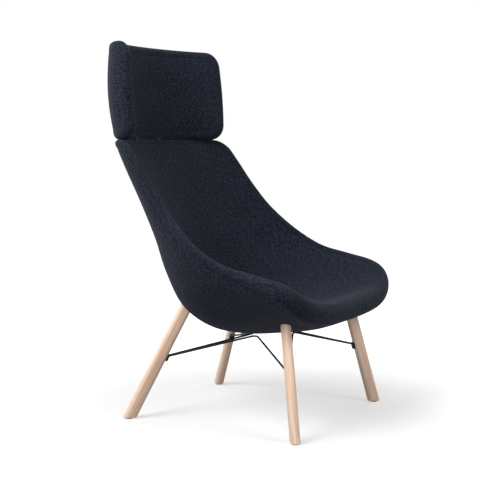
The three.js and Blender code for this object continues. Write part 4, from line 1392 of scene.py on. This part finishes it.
@material_named("studio_paper")
def studio_floor(tree, colours):
    """Matt white studio paper: it gives the eye a white ground that keeps a soft shadow."""
    plain = node(tree, "ShaderNodeBsdfDiffuse", Color=tuple(colours.floor))
    dim = node(tree, "ShaderNodeBsdfDiffuse", Color=grey(FLOOR_SEEN_GREY))
    place = node(tree, "ShaderNodeTexCoord").outputs["Object"]
    # Paper near the chair glows less, so that the shadow shows on it
    away = node(tree, "ShaderNodeVectorMath", {"operation": "LENGTH"}, i0=place)
    strength = node(tree, "ShaderNodeMapRange", {"interpolation_type": "SMOOTHSTEP"},
                    Value=away.outputs["Value"], i1=GLOW_START, i2=GLOW_END, i3=GLOW_NEAR, i4=1.0)
    glow = node(tree, "ShaderNodeEmission", Color=grey(1.0), Strength=strength)
    lit = node(tree, "ShaderNodeAddShader", i0=dim, i1=glow)
    return node(tree, "ShaderNodeMixShader", i0=to_eye(tree), i1=plain, i2=lit)


def aimed(holder, place, aim):
    """Puts a lamp or camera in its place and turns it to what it looks at."""
    holder.location = place
    holder.rotation_euler = (Vector(aim) - Vector(place)).to_track_quat("-Z", "Y").to_euler()
    bpy.context.scene.collection.objects.link(holder)


def area_light(name, place, side, power):
    """Soft square lamp that faces the chair."""
    lamp = bpy.data.lights.new(name, "AREA")
    lamp.size = side
    lamp.energy = power
    aimed(bpy.data.objects.new(name, lamp), place, LAMP_AIM)


class LOUNGE_OT_stage(bpy.types.Operator):
    """Build the floor, the soft lights, the world and the camera"""
    bl_idname = "lounge.stage"
    bl_label = "Stage"

    def execute(self, context):
        scene = context.scene
        floor = added(bpy.ops.mesh.primitive_plane_add, size=FLOOR_SIZE)
        floor.name = "floor"
        floor.data.materials.append(studio_floor(scene))
        for lamp in LAMPS:
            area_light(*lamp)
        self.world(scene)
        camera = bpy.data.objects.new("camera", bpy.data.cameras.new("camera"))
        camera.data.lens = CAMERA_LENS
        camera.data.sensor_width = CAMERA_SENSOR
        aimed(camera, Vector(CAMERA_PLACE) + SHIFT, Vector(CAMERA_AIM) + SHIFT)
        scene.camera = camera
        scene.view_settings.view_transform = "Standard"
        return {"FINISHED"}

    @staticmethod
    def world(scene):
        """Even pale light, and white where the camera sees it."""
        world = bpy.data.worlds.new("studio")
        scene.world = world
        world.use_nodes = True
        tree = world.node_tree
        tree.nodes.clear()
        low, white = (node(tree, "ShaderNodeBackground", Color=grey(1.0), Strength=strength)
                      for strength in (WORLD_LIGHT, 1.0))
        mix = node(tree, "ShaderNodeMixShader", i0=to_eye(tree), i1=low, i2=white)
        node(tree, "ShaderNodeOutputWorld", Surface=mix)


STEPS = (LOUNGE_OT_shell, LOUNGE_OT_headrest, LOUNGE_OT_legs, LOUNGE_OT_glides,
         LOUNGE_OT_brace, LOUNGE_OT_hidden_frame, LOUNGE_OT_stage)


class LOUNGE_PT_panel(bpy.types.Panel):
    """Lists the chair's pieces in the sidebar"""
    bl_idname = "LOUNGE_PT_panel"
    bl_label = "Lounge Chair"
    bl_space_type = "VIEW_3D"
    bl_region_type = "UI"
    bl_category = "Lounge Chair"

    def draw(self, context):
        for step in STEPS:
            self.layout.operator(step.bl_idname)
        for key, group in GROUPS.items():
            column = self.layout.column(align=True)
            column.label(text=group.__doc__)
            for name in group.__annotations__:
                column.prop(getattr(context.scene, key), name)


def register():
    """Registers the groups, the operators and the panel."""
    for item in (*GROUPS.values(), *STEPS, LOUNGE_PT_panel):
        bpy.utils.register_class(item)
    for key, group in GROUPS.items():
        setattr(bpy.types.Scene, key, PointerProperty(type=group))


def unregister():
    """Takes back what register added."""
    for key in GROUPS:
        delattr(bpy.types.Scene, key)
    for item in (LOUNGE_PT_panel, *STEPS[::-1], *list(GROUPS.values())[::-1]):
        bpy.utils.unregister_class(item)


def main():
    """Builds the chair and its stage."""
    register()
    for step in STEPS:
        group, name = step.bl_idname.split(".")
        result = getattr(getattr(bpy.ops, group), name)()
        if result != {"FINISHED"}:
            raise RuntimeError(f"{step.bl_label} was not built")
    bpy.context.view_layer.update()


if __name__ == "__main__":
    main()
